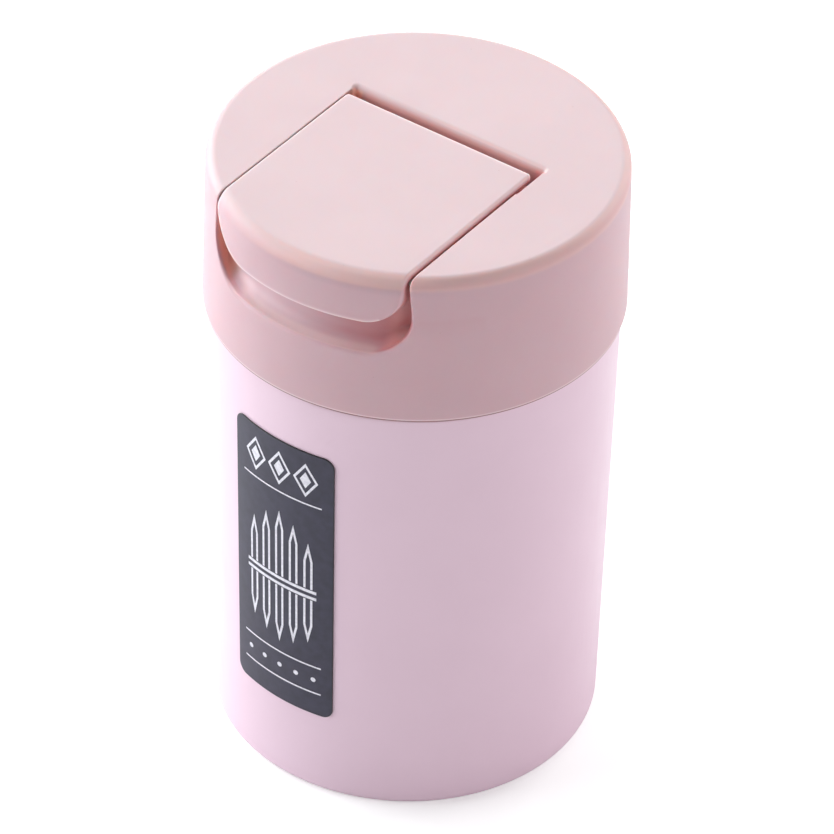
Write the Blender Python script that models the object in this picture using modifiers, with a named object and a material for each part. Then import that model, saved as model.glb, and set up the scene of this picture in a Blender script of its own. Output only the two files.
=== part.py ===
"""Table toothpick holder: a tapered cup, a push-on lid with a thumb recess, and a flap that lifts the picks.

The flap turns on a steel pin near the middle of the lid. Its two cranks carry stubs that run in the
slotted heads of a cradle, so opening the flap raises the tray on which the picks stand.

Units are metres. +Z is up, the flap opens towards -Y, and the origin is the middle of the foot's plane.
"""

import math

import bmesh
import bpy
from mathutils import Matrix

MM = 0.001

# Overall sizes
HEIGHT = 86.0 * MM
LID_HEIGHT = 21.45 * MM
LID_TOP_RADIUS = 26.3 * MM
LID_FLARE = 0.33 * MM
LID_OVERHANG = 0.68 * MM
BODY_TAPER = 0.88 * MM
RIM_ROUND = 1.4 * MM
BASE_ROUND = 1.4 * MM

# Gaps
SEAT_GAP = 0.3 * MM
PIN_GAP = 0.1 * MM
RUN_GAP = 0.15 * MM
LABEL_GAP = 0.06 * MM

# Cup
BODY_WALL = 1.7 * MM
FLOOR_THICK = 1.8 * MM
FOOT_RECESS = 1.0 * MM
FOOT_WIDTH = 3.0 * MM
NECK_WALL = 1.2 * MM
NECK_HEIGHT = 5.0 * MM
BEAD_HEIGHT = 0.2 * MM
BEAD_DROP = 1.8 * MM

# Label
LABEL_HALF_ARC = 7.94 * MM
LABEL_SHIFT_ARC = -1.67 * MM
LABEL_TOP_DROP = 29.85 * MM
LABEL_LENGTH = 42.9 * MM
LABEL_CORNER = 1.5 * MM
LABEL_THICK = 0.15 * MM

# Lid shell
LID_WALL = 1.6 * MM
LID_ROOF = 1.8 * MM
POCKET_CORNER = 0.5 * MM
TUB_WALL = 1.4 * MM
CURB_WALL = 1.5 * MM
RECESS_DEPTH = 2.0 * MM
RECESS_DROP = 11.53 * MM
RECESS_SIDE_STEP = 0.17 * MM
RECESS_STEP_RISE = 1.0 * MM
RECESS_CORNER = 5.06 * MM
HINGE_RELIEF = 0.2 * MM
HINGE_RELIEF_LENGTH = 6.0 * MM
BOSS_RADIUS = 2.3 * MM
SOCKET_DEPTH = 0.9 * MM

# Flap
FLAP_SIDE_GAP = 0.3 * MM
FLAP_TAIL = 1.95 * MM
FLAP_SWEEP_GAP = 0.158 * MM
FLAP_WALL = 1.6 * MM
FLAP_RIM_ROUND = 2.0 * MM
FLAP_EDGE_ROUND = 0.7 * MM
LIP_DROP = 6.68 * MM
LIP_CORNER = 4.45 * MM
LINER_THICK = 1.4 * MM
LINER_SIDE_STEP = 0.35 * MM

# Hinge and lift
HINGE_DROP = 2.8 * MM
HINGE_PIN_RADIUS = 1.0 * MM
BARREL_WALL = 0.8 * MM
BARREL_SIDE_STEP = 0.15 * MM
FLAP_OPEN_ANGLE = math.radians(95.0)
CRANK_FLOOR_GAP = 1.4 * MM
CRANK_THICK = 1.4 * MM
CRANK_END_RADIUS = 1.9 * MM
CRANK_BASE_WIDTH = 9.0 * MM
CRANK_BASE_STEP = 1.4 * MM
STUB_RADIUS = 1.0 * MM
STRAP_THICK = 1.2 * MM
STRAP_WIDTH = 5.0 * MM
HEAD_WALL = 1.4 * MM

# Sleeve, tray and deck
PICK_LENGTH = 65.0 * MM
PICK_HEADROOM = 1.5 * MM
SLEEVE_RADIUS = 9.6 * MM
SLEEVE_FRONT_ROOM = 2.23 * MM
SLEEVE_WALL = 1.0 * MM
SLEEVE_COLLAR = 3.95 * MM
SLEEVE_BELOW_TRAY = 3.0 * MM
LUG_REACH = 1.3 * MM
LUG_HALF_WIDTH = 2.5 * MM
LUG_THICK = 1.45 * MM
TRAY_THICK = 1.4 * MM
TRAY_BAR_WIDTH = 4.0 * MM
DECK_THICK = 1.5 * MM
PLUG_WALL = 1.2 * MM
PLUG_DEPTH = 3.0 * MM

# Screws
SCREW_SHANK_RADIUS = 0.95 * MM
SCREW_HEAD_RADIUS = 1.7 * MM
SCREW_HEAD_HEIGHT = 1.1 * MM
SCREW_BITE = 7.0 * MM
SCREW_SLOT_WIDTH = 0.5 * MM
SCREW_SLOT_DEPTH = 0.5 * MM
REAR_SCREW_ANGLE = math.radians(57.0)
SIDE_SCREW_ANGLE = math.radians(-17.5)

# Facets
TURN_STEPS = 96
TUBE_STEPS = 48
PIN_STEPS = 20
ARC_STEPS = 5
EDGE_STEPS = 3
FLAP_COLUMNS = 14

# Heights that follow from the sizes above
LID_BOTTOM = HEIGHT - LID_HEIGHT
SHOULDER = LID_BOTTOM - SEAT_GAP
NECK_TOP = SHOULDER + NECK_HEIGHT
DECK_BOTTOM = NECK_TOP + SEAT_GAP
DECK_TOP = DECK_BOTTOM + DECK_THICK
TUB_BOTTOM = DECK_TOP + SEAT_GAP
RECESS_FLOOR = HEIGHT - RECESS_DROP
LINER_TOP = HEIGHT - FLAP_WALL - SEAT_GAP
LINER_BOTTOM = LINER_TOP - LINER_THICK
CURB_TOP = LINER_BOTTOM - SEAT_GAP
TRAY_TOP = LINER_BOTTOM - PICK_HEADROOM - PICK_LENGTH
TRAY_BOTTOM = TRAY_TOP - TRAY_THICK

# Radii that follow
LID_BOTTOM_RADIUS = LID_TOP_RADIUS + LID_FLARE
BODY_TOP_RADIUS = LID_BOTTOM_RADIUS - LID_OVERHANG
BODY_BOTTOM_RADIUS = BODY_TOP_RADIUS - BODY_TAPER
LID_INNER_RADIUS = LID_BOTTOM_RADIUS - LID_WALL
NECK_OUTER_RADIUS = LID_INNER_RADIUS - SEAT_GAP
NECK_INNER_RADIUS = NECK_OUTER_RADIUS - NECK_WALL
PLUG_OUTER_RADIUS = NECK_INNER_RADIUS - SEAT_GAP
PLUG_INNER_RADIUS = PLUG_OUTER_RADIUS - PLUG_WALL
CURB_OUTER_RADIUS = LID_TOP_RADIUS - RECESS_DEPTH
CURB_INNER_RADIUS = CURB_OUTER_RADIUS - CURB_WALL
BARREL_RADIUS = HINGE_PIN_RADIUS + PIN_GAP + BARREL_WALL
SLEEVE_OUTER_RADIUS = SLEEVE_RADIUS + SLEEVE_WALL
TRAY_RADIUS = SLEEVE_RADIUS - SEAT_GAP

# Places across the width, from the sleeve outwards to the pocket's wall
STRAP_INNER_X = SLEEVE_OUTER_RADIUS + SEAT_GAP
STRAP_OUTER_X = STRAP_INNER_X + STRAP_THICK
CRANK_INNER_X = STRAP_OUTER_X + SEAT_GAP
CRANK_OUTER_X = CRANK_INNER_X + CRANK_THICK
FLAP_HALF_WIDTH = CRANK_OUTER_X + LINER_SIDE_STEP
POCKET_HALF_WIDTH = FLAP_HALF_WIDTH + FLAP_SIDE_GAP

# Places from front to rear: the sleeve keeps its room in the plug ring and the hinge lies just behind it
SLEEVE_Y = SLEEVE_FRONT_ROOM + SLEEVE_OUTER_RADIUS - PLUG_INNER_RADIUS
LINER_REAR = SLEEVE_Y + SLEEVE_RADIUS
HINGE_Y = LINER_REAR + SEAT_GAP + BARREL_RADIUS
FLAP_REAR = HINGE_Y + FLAP_TAIL
POCKET_REAR = HINGE_Y + math.hypot(FLAP_TAIL, HINGE_DROP) + FLAP_SWEEP_GAP

# The crank reaches down to its gap over the deck and swings as far above the hinge as below it
HINGE_Z = HEIGHT - HINGE_DROP
HALF_SWING = FLAP_OPEN_ANGLE / 2
STUB_Z = DECK_TOP + CRANK_FLOOR_GAP + CRANK_END_RADIUS
CRANK_RADIUS = (HINGE_Z - STUB_Z) / math.sin(HALF_SWING)
STUB_REAR_Y = HINGE_Y - CRANK_RADIUS * math.cos(HALF_SWING)
STUB_FRONT_Y = HINGE_Y - CRANK_RADIUS
LIFT = 2 * (HINGE_Z - STUB_Z)
LIFT_PER_RADIAN = LIFT / FLAP_OPEN_ANGLE

# The stub rises as a sine and the cradle in proportion to the flap's turn: the slot takes up the difference
STEEPEST = math.acos(math.sin(HALF_SWING) / HALF_SWING)
STUB_LEAD = CRANK_RADIUS * (math.sin(STEEPEST) - math.sin(HALF_SWING) * STEEPEST / HALF_SWING)
SLOT_HALF_HEIGHT = STUB_RADIUS + STUB_LEAD + RUN_GAP
HEAD_HALF_HEIGHT = SLOT_HALF_HEIGHT + HEAD_WALL
STRAP_Y = (STUB_REAR_Y + STUB_FRONT_Y) / 2

# The screws lie on one ring, just inside the plug
SCREW_RING_RADIUS = PLUG_INNER_RADIUS - SCREW_HEAD_RADIUS - SEAT_GAP
SCREW_SPOTS = [
    (side * SCREW_RING_RADIUS * math.cos(angle), SCREW_RING_RADIUS * math.sin(angle))
    for angle in (REAR_SCREW_ANGLE, SIDE_SCREW_ANGLE)
    for side in (-1, 1)
]


def clear_scene():
    for old in list(bpy.data.objects):
        bpy.data.objects.remove(old, do_unlink=True)


def new_collection(name):
    collection = bpy.data.collections.new(name)
    bpy.context.scene.collection.children.link(collection)
    return collection


def plastic(name, colour, roughness, metallic=0.0):
    """A Principled material for one sub-part."""
    made = bpy.data.materials.new(name)
    made.use_nodes = True
    made.diffuse_color = (*colour, 1.0)
    shader = made.node_tree.nodes["Principled BSDF"]
    shader.inputs["Base Color"].default_value = (*colour, 1.0)
    shader.inputs["Roughness"].default_value = roughness
    shader.inputs["Metallic"].default_value = metallic
    return made


def add_object(name, mesh, collection):
    made = bpy.data.objects.new(name, mesh)
    collection.objects.link(made)
    return made


def tidy_faces(mesh):
    """Welds doubled points and turns every face outwards."""
    weld = bmesh.new()
    weld.from_mesh(mesh)
    bmesh.ops.remove_doubles(weld, verts=weld.verts, dist=1e-7)
    bmesh.ops.recalc_face_normals(weld, faces=weld.faces)
    weld.to_mesh(mesh)
    weld.free()


def turned(name, profile, steps=TURN_STEPS, centre=(0.0, 0.0)):
    """A profile of (radius, height) points turned round an upright axis, outer side listed downwards."""
    mesh = bpy.data.meshes.new(name)
    on_axis = profile[0][0] == 0.0
    edges = [(i, i + 1) for i in range(len(profile) - 1)]
    if not on_axis:
        edges.append((len(profile) - 1, 0))
    mesh.from_pydata([(r, 0.0, z) for r, z in profile], edges, [])
    made = add_object(name, mesh, CUTTERS)
    made.location = (*centre, 0.0)
    screw = made.modifiers.new("turn", "SCREW")
    screw.axis = "Z"
    screw.steps = steps
    screw.render_steps = steps
    screw.use_merge_vertices = True
    screw.merge_threshold = 1e-6
    return made


def cylinder(name, radius, low, high, steps=TUBE_STEPS, centre=(0.0, 0.0)):
    return turned(name, [(0.0, high), (radius, high), (radius, low), (0.0, low)], steps, centre)


def rounded(corners):
    """An outline whose (u, v, radius) corners are arcs, listed anticlockwise."""
    points = []
    count = len(corners)
    for i, (u, v, radius) in enumerate(corners):
        if radius == 0.0:
            points.append((u, v))
            continue
        before = corners[i - 1]
        after = corners[(i + 1) % count]
        angle_in = math.atan2(v - before[1], u - before[0])
        turn = math.atan2(after[1] - v, after[0] - u) - angle_in
        turn = (turn + math.pi) % (2 * math.pi) - math.pi
        back = radius * math.tan(abs(turn) / 2)
        side = math.copysign(1.0, turn)
        centre_u = u - back * math.cos(angle_in) - side * radius * math.sin(angle_in)
        centre_v = v - back * math.sin(angle_in) + side * radius * math.cos(angle_in)
        for step in range(ARC_STEPS + 1):
            angle = angle_in - side * math.pi / 2 + turn * step / ARC_STEPS
            points.append((centre_u + radius * math.cos(angle), centre_v + radius * math.sin(angle)))
    return points


def rectangle(u_low, u_high, v_low, v_high, radius=0.0):
    corners = ((u_low, v_low), (u_high, v_low), (u_high, v_high), (u_low, v_high))
    return rounded([(u, v, radius) for u, v in corners])


# Each way of standing an outline up: its own plane's u and v, and the way it is extruded, as world columns
STANDING = {
    "X": Matrix(((0, 0, 1), (1, 0, 0), (0, 1, 0))),
    "Y": Matrix(((1, 0, 0), (0, 0, -1), (0, 1, 0))),
    "Z": Matrix.Identity(3),
}


def prism(name, outline, low, high, axis="Z"):
    """An outline extruded from low to high along X (u, v are y, z), Y (x, z) or Z (x, y)."""
    curve = bpy.data.curves.new(name, "CURVE")
    curve.dimensions = "2D"
    curve.fill_mode = "BOTH"
    curve.extrude = (high - low) / 2
    spline = curve.splines.new("POLY")
    spline.points.add(len(outline) - 1)
    for point, (u, v) in zip(spline.points, outline):
        point.co = (u, v, 0.0, 1.0)
    spline.use_cyclic_u = True
    guide = add_object(name + "_outline", curve, CUTTERS)
    turn = STANDING[axis]
    middle = (low + high) / 2
    along = -middle if axis == "Y" else middle
    guide.matrix_world = Matrix.Translation(turn.col[2] * along) @ turn.to_4x4()
    bpy.context.view_layer.update()
    graph = bpy.context.evaluated_depsgraph_get()
    mesh = bpy.data.meshes.new_from_object(guide.evaluated_get(graph))
    mesh.name = name
    tidy_faces(mesh)
    made = add_object(name, mesh, CUTTERS)
    made.matrix_world = guide.matrix_world.copy()
    bpy.data.objects.remove(guide, do_unlink=True)
    return made


def rod(name, radius, low, high, y, z, steps=PIN_STEPS):
    """A round bar along X."""
    made = cylinder(name, radius, low, high, steps)
    made.matrix_world = Matrix.Translation((0.0, y, z)) @ Matrix.Rotation(math.pi / 2, 4, "Y")
    return made


def combine(target, other, operation):
    """Joins, cuts or trims target with other, which stays as a hidden helper."""
    boolean = target.modifiers.new(operation.lower() + "_" + other.name, "BOOLEAN")
    boolean.operation = operation
    boolean.solver = "EXACT"
    boolean.object = other
    other.hide_render = True
    other.display_type = "WIRE"
    return target


def join(target, *others):
    for other in others:
        combine(target, other, "UNION")
    return target


def cut(target, *others):
    for other in others:
        combine(target, other, "DIFFERENCE")
    return target


def finish_part(obj, material):
    """Moves a finished sub-part out of the helpers and gives it its material."""
    CUTTERS.objects.unlink(obj)
    PARTS.objects.link(obj)
    obj.data.materials.clear()
    obj.data.materials.append(material)
    obj.data.shade_smooth()
    obj.data.set_sharp_from_angle(angle=math.radians(35))
    return obj


def arc(centre_u, centre_v, radius, start, end, steps=ARC_STEPS):
    """Points on an arc, with its angles in degrees."""
    angles = [math.radians(start + (end - start) * i / steps) for i in range(steps + 1)]
    return [(centre_u + radius * math.cos(a), centre_v + radius * math.sin(a)) for a in angles]


def body_radius(z):
    """The cup's outer radius at a height, on its straight taper."""
    return BODY_BOTTOM_RADIUS + (BODY_TOP_RADIUS - BODY_BOTTOM_RADIUS) * z / SHOULDER


def lid_radius(z):
    """The lid's outer radius at a height, on its straight flare."""
    return LID_TOP_RADIUS + (LID_BOTTOM_RADIUS - LID_TOP_RADIUS) * (HEIGHT - z) / LID_HEIGHT


def make_body_cup(material):
    floor_top = FOOT_RECESS + FLOOR_THICK
    inner_bottom = BODY_BOTTOM_RADIUS - BODY_WALL
    foot_outer = BODY_BOTTOM_RADIUS - BASE_ROUND
    foot_inner = foot_outer - FOOT_WIDTH
    bead = NECK_TOP - BEAD_DROP
    bead_radius = NECK_OUTER_RADIUS + BEAD_HEIGHT
    profile = [(0.0, floor_top)]
    profile += arc(inner_bottom - BASE_ROUND, floor_top + BASE_ROUND, BASE_ROUND, -90, 0, 3)
    profile += [(NECK_INNER_RADIUS, SHOULDER), (NECK_INNER_RADIUS, NECK_TOP)]
    profile += arc(NECK_OUTER_RADIUS - NECK_WALL / 2, NECK_TOP - NECK_WALL / 2, NECK_WALL / 2, 90, 0, 3)
    profile += [(NECK_OUTER_RADIUS, bead + BEAD_HEIGHT), (bead_radius, bead)]
    profile += [(NECK_OUTER_RADIUS, bead - BEAD_HEIGHT), (NECK_OUTER_RADIUS, SHOULDER)]
    profile += [(BODY_TOP_RADIUS, SHOULDER)]
    profile += arc(body_radius(BASE_ROUND) - BASE_ROUND, BASE_ROUND, BASE_ROUND, 0, -90)
    profile += [(foot_inner, 0.0), (foot_inner - FOOT_RECESS, FOOT_RECESS), (0.0, FOOT_RECESS)]
    return finish_part(turned("body_cup", profile), material)


def make_front_label(material):
    top = HEIGHT - LABEL_TOP_DROP
    bottom = top - LABEL_LENGTH
    middle_radius = body_radius((top + bottom) / 2)
    half_chord = middle_radius * math.sin(LABEL_HALF_ARC / middle_radius)
    margin = LABEL_CORNER
    heights = (top + margin, bottom - margin)
    inner = [(body_radius(z) + LABEL_GAP, z) for z in heights]
    outer = [(r + LABEL_THICK, z) for r, z in inner]
    label = turned("front_label", [*outer, *reversed(inner)], 2 * TURN_STEPS)
    outline = rectangle(-half_chord, half_chord, bottom, top, LABEL_CORNER)
    trim = prism("label_outline_trim", outline, -BODY_TOP_RADIUS - margin, 0.0, "Y")
    shift = Matrix.Rotation(LABEL_SHIFT_ARC / middle_radius, 4, "Z")
    trim.matrix_world = shift @ trim.matrix_world
    combine(label, trim, "INTERSECT")
    return finish_part(label, material)


def make_lid_shell(material):
    inner_roof = HEIGHT - LID_ROOF
    profile = [(0.0, HEIGHT)]
    profile += arc(LID_TOP_RADIUS - RIM_ROUND, HEIGHT - RIM_ROUND, RIM_ROUND, 90, 0)
    profile += [(LID_BOTTOM_RADIUS, LID_BOTTOM), (LID_INNER_RADIUS, LID_BOTTOM)]
    profile += arc(LID_INNER_RADIUS - RIM_ROUND, inner_roof - RIM_ROUND, RIM_ROUND, 0, 90, 3)
    profile += [(0.0, inner_roof)]
    shell = turned("lid_shell", profile)

    tub_half = POCKET_HALF_WIDTH + RECESS_SIDE_STEP + TUB_WALL
    tub_rear = POCKET_REAR + TUB_WALL
    tub_trim = (LID_INNER_RADIUS + LID_TOP_RADIUS) / 2
    high = inner_roof + LID_ROOF / 3
    tub = prism("tub", rectangle(-tub_half, tub_half, -LID_BOTTOM_RADIUS, tub_rear), TUB_BOTTOM, high)
    combine(tub, cylinder("tub_trim", tub_trim, TUB_BOTTOM - MM, high + MM, TURN_STEPS), "INTERSECT")
    join(shell, tub)
    for i, spot in enumerate(SCREW_SPOTS):
        join(shell, cylinder(f"boss_{i}", BOSS_RADIUS, TUB_BOTTOM, high, PIN_STEPS, spot))

    past = HEIGHT + MM
    half = POCKET_HALF_WIDTH
    well_outline = rectangle(-half, half, -LID_BOTTOM_RADIUS, POCKET_REAR, POCKET_CORNER)
    well = prism("pocket_well", well_outline, TUB_BOTTOM - MM, past)
    well_front = cylinder("pocket_front", CURB_INNER_RADIUS, TUB_BOTTOM - 2 * MM, past + MM, TURN_STEPS)
    combine(well, well_front, "INTERSECT")
    front = prism("flap_way", rectangle(-half, half, -LID_BOTTOM_RADIUS - MM, 0.0), CURB_TOP, past)
    wide = half + RECESS_SIDE_STEP
    recess_top = CURB_TOP + RECESS_STEP_RISE
    recess_outline = rounded(
        [
            (-wide, RECESS_FLOOR, RECESS_CORNER),
            (wide, RECESS_FLOOR, RECESS_CORNER),
            (wide, recess_top, 0.0),
            (-wide, recess_top, 0.0),
        ]
    )
    recess = prism("thumb_recess", recess_outline, -LID_BOTTOM_RADIUS - MM, -CURB_INNER_RADIUS / 2, "Y")
    back_wall = cylinder("recess_back", CURB_OUTER_RADIUS, RECESS_FLOOR - MM, past, TURN_STEPS)
    cut(recess, back_wall)
    relief_half = half + HINGE_RELIEF
    relief_front = POCKET_REAR - HINGE_RELIEF_LENGTH
    relief_outline = rectangle(-relief_half, relief_half, relief_front, POCKET_REAR)
    relief = prism("hinge_relief", relief_outline, HINGE_Z - 2 * BARREL_RADIUS, past)
    socket_end = relief_half + SOCKET_DEPTH
    socket = rod("pin_sockets", HINGE_PIN_RADIUS + PIN_GAP, -socket_end, socket_end, HINGE_Y, HINGE_Z)
    cut(shell, well, front, recess, relief)
    for i, spot in enumerate(SCREW_SPOTS):
        depth = TUB_BOTTOM + SCREW_BITE + SEAT_GAP
        pilot = SCREW_SHANK_RADIUS + PIN_GAP
        cut(shell, cylinder(f"pilot_{i}", pilot, TUB_BOTTOM - MM, depth, PIN_STEPS, spot))
    cut(shell, socket)
    return finish_part(shell, material)


def make_lid_deck(material):
    """The plate under the pocket, with a plug ring that centres the lid in the cup's neck."""
    plug_low = DECK_BOTTOM - PLUG_DEPTH
    profile = [(0.0, DECK_TOP), (NECK_OUTER_RADIUS, DECK_TOP), (NECK_OUTER_RADIUS, DECK_BOTTOM)]
    profile += [(PLUG_OUTER_RADIUS, DECK_BOTTOM), (PLUG_OUTER_RADIUS, plug_low)]
    profile += [(PLUG_INNER_RADIUS, plug_low), (PLUG_INNER_RADIUS, DECK_BOTTOM), (0.0, DECK_BOTTOM)]
    deck = turned("lid_deck", profile)
    low = DECK_BOTTOM - MM
    high = DECK_TOP + MM
    mouth_radius = SLEEVE_OUTER_RADIUS + SEAT_GAP
    mouth = cylinder("deck_mouth", mouth_radius, low, high, TUBE_STEPS, (0.0, SLEEVE_Y))
    reach = STRAP_OUTER_X + SEAT_GAP
    half = STRAP_WIDTH / 2 + SEAT_GAP
    slots = prism("strap_slots", rectangle(-reach, reach, STRAP_Y - half, STRAP_Y + half), low, high)
    cut(deck, mouth, slots)
    for i, spot in enumerate(SCREW_SPOTS):
        hole = SCREW_SHANK_RADIUS + SEAT_GAP
        cut(deck, cylinder(f"screw_hole_{i}", hole, low, high, PIN_STEPS, spot))
    return finish_part(deck, material)


def make_screws(material):
    under = DECK_BOTTOM - PIN_GAP
    low = under - SCREW_HEAD_HEIGHT
    tip = TUB_BOTTOM + SCREW_BITE
    taper = 2 * SCREW_SHANK_RADIUS
    for i, (x, y) in enumerate(SCREW_SPOTS):
        profile = [(0.0, tip), (SCREW_SHANK_RADIUS, tip - taper), (SCREW_SHANK_RADIUS, under)]
        profile += [(SCREW_HEAD_RADIUS, under), (SCREW_HEAD_RADIUS, under - SCREW_HEAD_HEIGHT / 2)]
        profile += [(SCREW_HEAD_RADIUS - SCREW_HEAD_HEIGHT / 2, low), (0.0, low)]
        screw = turned(f"deck_screw_{i + 1}", profile, PIN_STEPS, (x, y))
        reach = SCREW_HEAD_RADIUS - SCREW_HEAD_HEIGHT / 2
        half = SCREW_SLOT_WIDTH / 2
        for long_x, long_y in ((reach, half), (half, reach)):
            outline = rectangle(x - long_x, x + long_x, y - long_y, y + long_y)
            cut(screw, prism(f"drive_{i}", outline, low - MM, low + SCREW_SLOT_DEPTH))
        finish_part(screw, material)


def make_pick_sleeve(material):
    """The tube that the picks stand in. It hangs from the deck by two lugs, and its slits guide the tray."""
    top = DECK_TOP + SLEEVE_COLLAR
    low = TRAY_BOTTOM - SLEEVE_BELOW_TRAY
    round_over = SLEEVE_WALL / 2
    profile = [(SLEEVE_RADIUS, top - round_over), (SLEEVE_RADIUS + round_over, top)]
    profile += [(SLEEVE_OUTER_RADIUS, top - round_over), (SLEEVE_OUTER_RADIUS, low), (SLEEVE_RADIUS, low)]
    sleeve = turned("pick_sleeve", profile, TUBE_STEPS, (0.0, SLEEVE_Y))
    for name, facing in (("lug_front", -1), ("lug_rear", 1)):
        inner = SLEEVE_Y + facing * (SLEEVE_OUTER_RADIUS - SLEEVE_WALL / 2)
        outer = SLEEVE_Y + facing * (SLEEVE_OUTER_RADIUS + LUG_REACH)
        outline = rectangle(-LUG_HALF_WIDTH, LUG_HALF_WIDTH, min(inner, outer), max(inner, outer))
        join(sleeve, prism(name, outline, TUB_BOTTOM, TUB_BOTTOM + LUG_THICK))
    half = TRAY_BAR_WIDTH / 2 + SEAT_GAP
    reach = SLEEVE_OUTER_RADIUS + MM
    slit_top = TRAY_TOP + LIFT + SEAT_GAP
    outline = rectangle(-reach, reach, STRAP_Y - half, STRAP_Y + half)
    cut(sleeve, prism("tray_slits", outline, low - MM, slit_top))
    return finish_part(sleeve, material)


def make_lift_cradle(material):
    """The tray with its two straps, each ending in a slotted head that the flap's stub lifts."""
    tray = cylinder("lift_cradle", TRAY_RADIUS, TRAY_BOTTOM, TRAY_TOP, TUBE_STEPS, (0.0, SLEEVE_Y))
    half_bar = TRAY_BAR_WIDTH / 2
    outer = STRAP_OUTER_X
    bar = rectangle(-outer, outer, STRAP_Y - half_bar, STRAP_Y + half_bar)
    join(tray, prism("tray_bar", bar, TRAY_BOTTOM, TRAY_TOP))
    half_strap = STRAP_WIDTH / 2
    strap = rectangle(STRAP_Y - half_strap, STRAP_Y + half_strap, TRAY_BOTTOM, STUB_Z, half_strap / 4)
    head = rectangle(
        STUB_FRONT_Y - HEAD_HALF_HEIGHT,
        STUB_REAR_Y + HEAD_HALF_HEIGHT,
        STUB_Z - HEAD_HALF_HEIGHT,
        STUB_Z + HEAD_HALF_HEIGHT,
        HEAD_WALL,
    )
    slot = arc(STUB_REAR_Y, STUB_Z, SLOT_HALF_HEIGHT, -90, 90, 2 * ARC_STEPS)
    slot += arc(STUB_FRONT_Y, STUB_Z, SLOT_HALF_HEIGHT, 90, 270, 2 * ARC_STEPS)
    for side in (-1, 1):
        inner_x, outer_x = sorted((side * STRAP_INNER_X, side * STRAP_OUTER_X))
        join(tray, prism(f"strap_{side}", strap, inner_x, outer_x, "X"))
        join(tray, prism(f"head_{side}", head, inner_x, outer_x, "X"))
        cut(tray, prism(f"slot_{side}", slot, inner_x - MM, outer_x + MM, "X"))
    return finish_part(tray, material)


def flap_half_width(z):
    """Half the flap's width at a height, with the lip's lower corners round."""
    above = min(z - (HEIGHT - LIP_DROP), LIP_CORNER)
    return FLAP_HALF_WIDTH - LIP_CORNER + math.sqrt(LIP_CORNER**2 - (LIP_CORNER - above) ** 2)


def flap_rows():
    """The rows over the rim and down the lip: plan radius, height, and the outward and upward parts of the normal."""
    rim_z = HEIGHT - FLAP_RIM_ROUND
    rim = lid_radius(rim_z) - FLAP_RIM_ROUND
    turns = [math.pi / 2 * step / ARC_STEPS for step in range(ARC_STEPS + 1)]
    over = [(math.sin(turn), math.cos(turn)) for turn in turns]
    rows = [(rim + FLAP_RIM_ROUND * out, rim_z + FLAP_RIM_ROUND * up, out, up) for out, up in over]
    for turn in turns[1:]:
        z = rim_z - (rim_z - HEIGHT + LIP_DROP) * math.sin(turn)
        rows.append((lid_radius(z), z, 1.0, 0.0))
    return rows


def flap_section(half):
    """The flap's cut across its width as a ring of (x, depth) points, round at its two outer edges."""
    flat = half - FLAP_EDGE_ROUND
    spread = [2 * i / FLAP_COLUMNS - 1 for i in range(FLAP_COLUMNS + 1)]
    edge = arc(flat, FLAP_EDGE_ROUND, FLAP_EDGE_ROUND, -90, 0, EDGE_STEPS)
    ring = [(flat * share, 0.0) for share in spread] + edge[1:]
    ring += [(half * share, FLAP_WALL) for share in reversed(spread)]
    return ring + [(-x, depth) for x, depth in reversed(edge[1:])]


def make_flap_cover(material):
    section = flap_section(FLAP_HALF_WIDTH)
    size = len(section)
    points = [(x, FLAP_REAR, HEIGHT - depth) for x, depth in section]
    for radius, z, out, up in flap_rows():
        for x, depth in flap_section(flap_half_width(z)):
            reach = radius - depth * out
            points.append((x, -math.sqrt(reach**2 - x**2), z - depth * up))
    faces = [tuple(range(size)), tuple(range(len(points) - size, len(points)))]
    for row in range(0, len(points) - size, size):
        for i in range(size):
            after = (i + 1) % size
            faces.append((row + i, row + size + i, row + size + after, row + after))
    mesh = bpy.data.meshes.new("flap_cover")
    mesh.from_pydata(points, [], faces)
    tidy_faces(mesh)
    cover = add_object("flap_cover", mesh, CUTTERS)
    barrel_half = FLAP_HALF_WIDTH - BARREL_SIDE_STEP
    join(cover, rod("barrel", BARREL_RADIUS, -barrel_half, barrel_half, HINGE_Y, HINGE_Z, TUBE_STEPS))
    reach = FLAP_HALF_WIDTH + MM
    cut(cover, rod("barrel_bore", HINGE_PIN_RADIUS + PIN_GAP, -reach, reach, HINGE_Y, HINGE_Z))
    return finish_part(cover, material)


def make_flap_liner(material):
    """The plate inside the flap, whose two cranks carry the stubs."""
    front_radius = lid_radius(HEIGHT - FLAP_RIM_ROUND) - FLAP_WALL - SEAT_GAP
    outline = rectangle(-CRANK_OUTER_X, CRANK_OUTER_X, -LID_BOTTOM_RADIUS, LINER_REAR)
    plate = prism("flap_liner", outline, LINER_BOTTOM, LINER_TOP)
    trim = cylinder("liner_trim", front_radius, LINER_BOTTOM - MM, LINER_TOP + MM, TURN_STEPS)
    combine(plate, trim, "INTERSECT")
    middle = LINER_BOTTOM + LINER_THICK / 2
    base_rear = LINER_REAR - CRANK_BASE_STEP
    crank = arc(STUB_REAR_Y, STUB_Z, CRANK_END_RADIUS, 190, 350, 2 * ARC_STEPS)
    crank += [(base_rear, middle), (base_rear - CRANK_BASE_WIDTH, middle)]
    for side in (-1, 1):
        inner_x, outer_x = sorted((side * CRANK_INNER_X, side * CRANK_OUTER_X))
        join(plate, prism(f"crank_{side}", crank, inner_x, outer_x, "X"))
        low_x, high_x = sorted((side * STRAP_INNER_X, side * (CRANK_INNER_X + CRANK_THICK / 2)))
        join(plate, rod(f"stub_{side}", STUB_RADIUS, low_x, high_x, STUB_REAR_Y, STUB_Z))
    return finish_part(plate, material)


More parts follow.
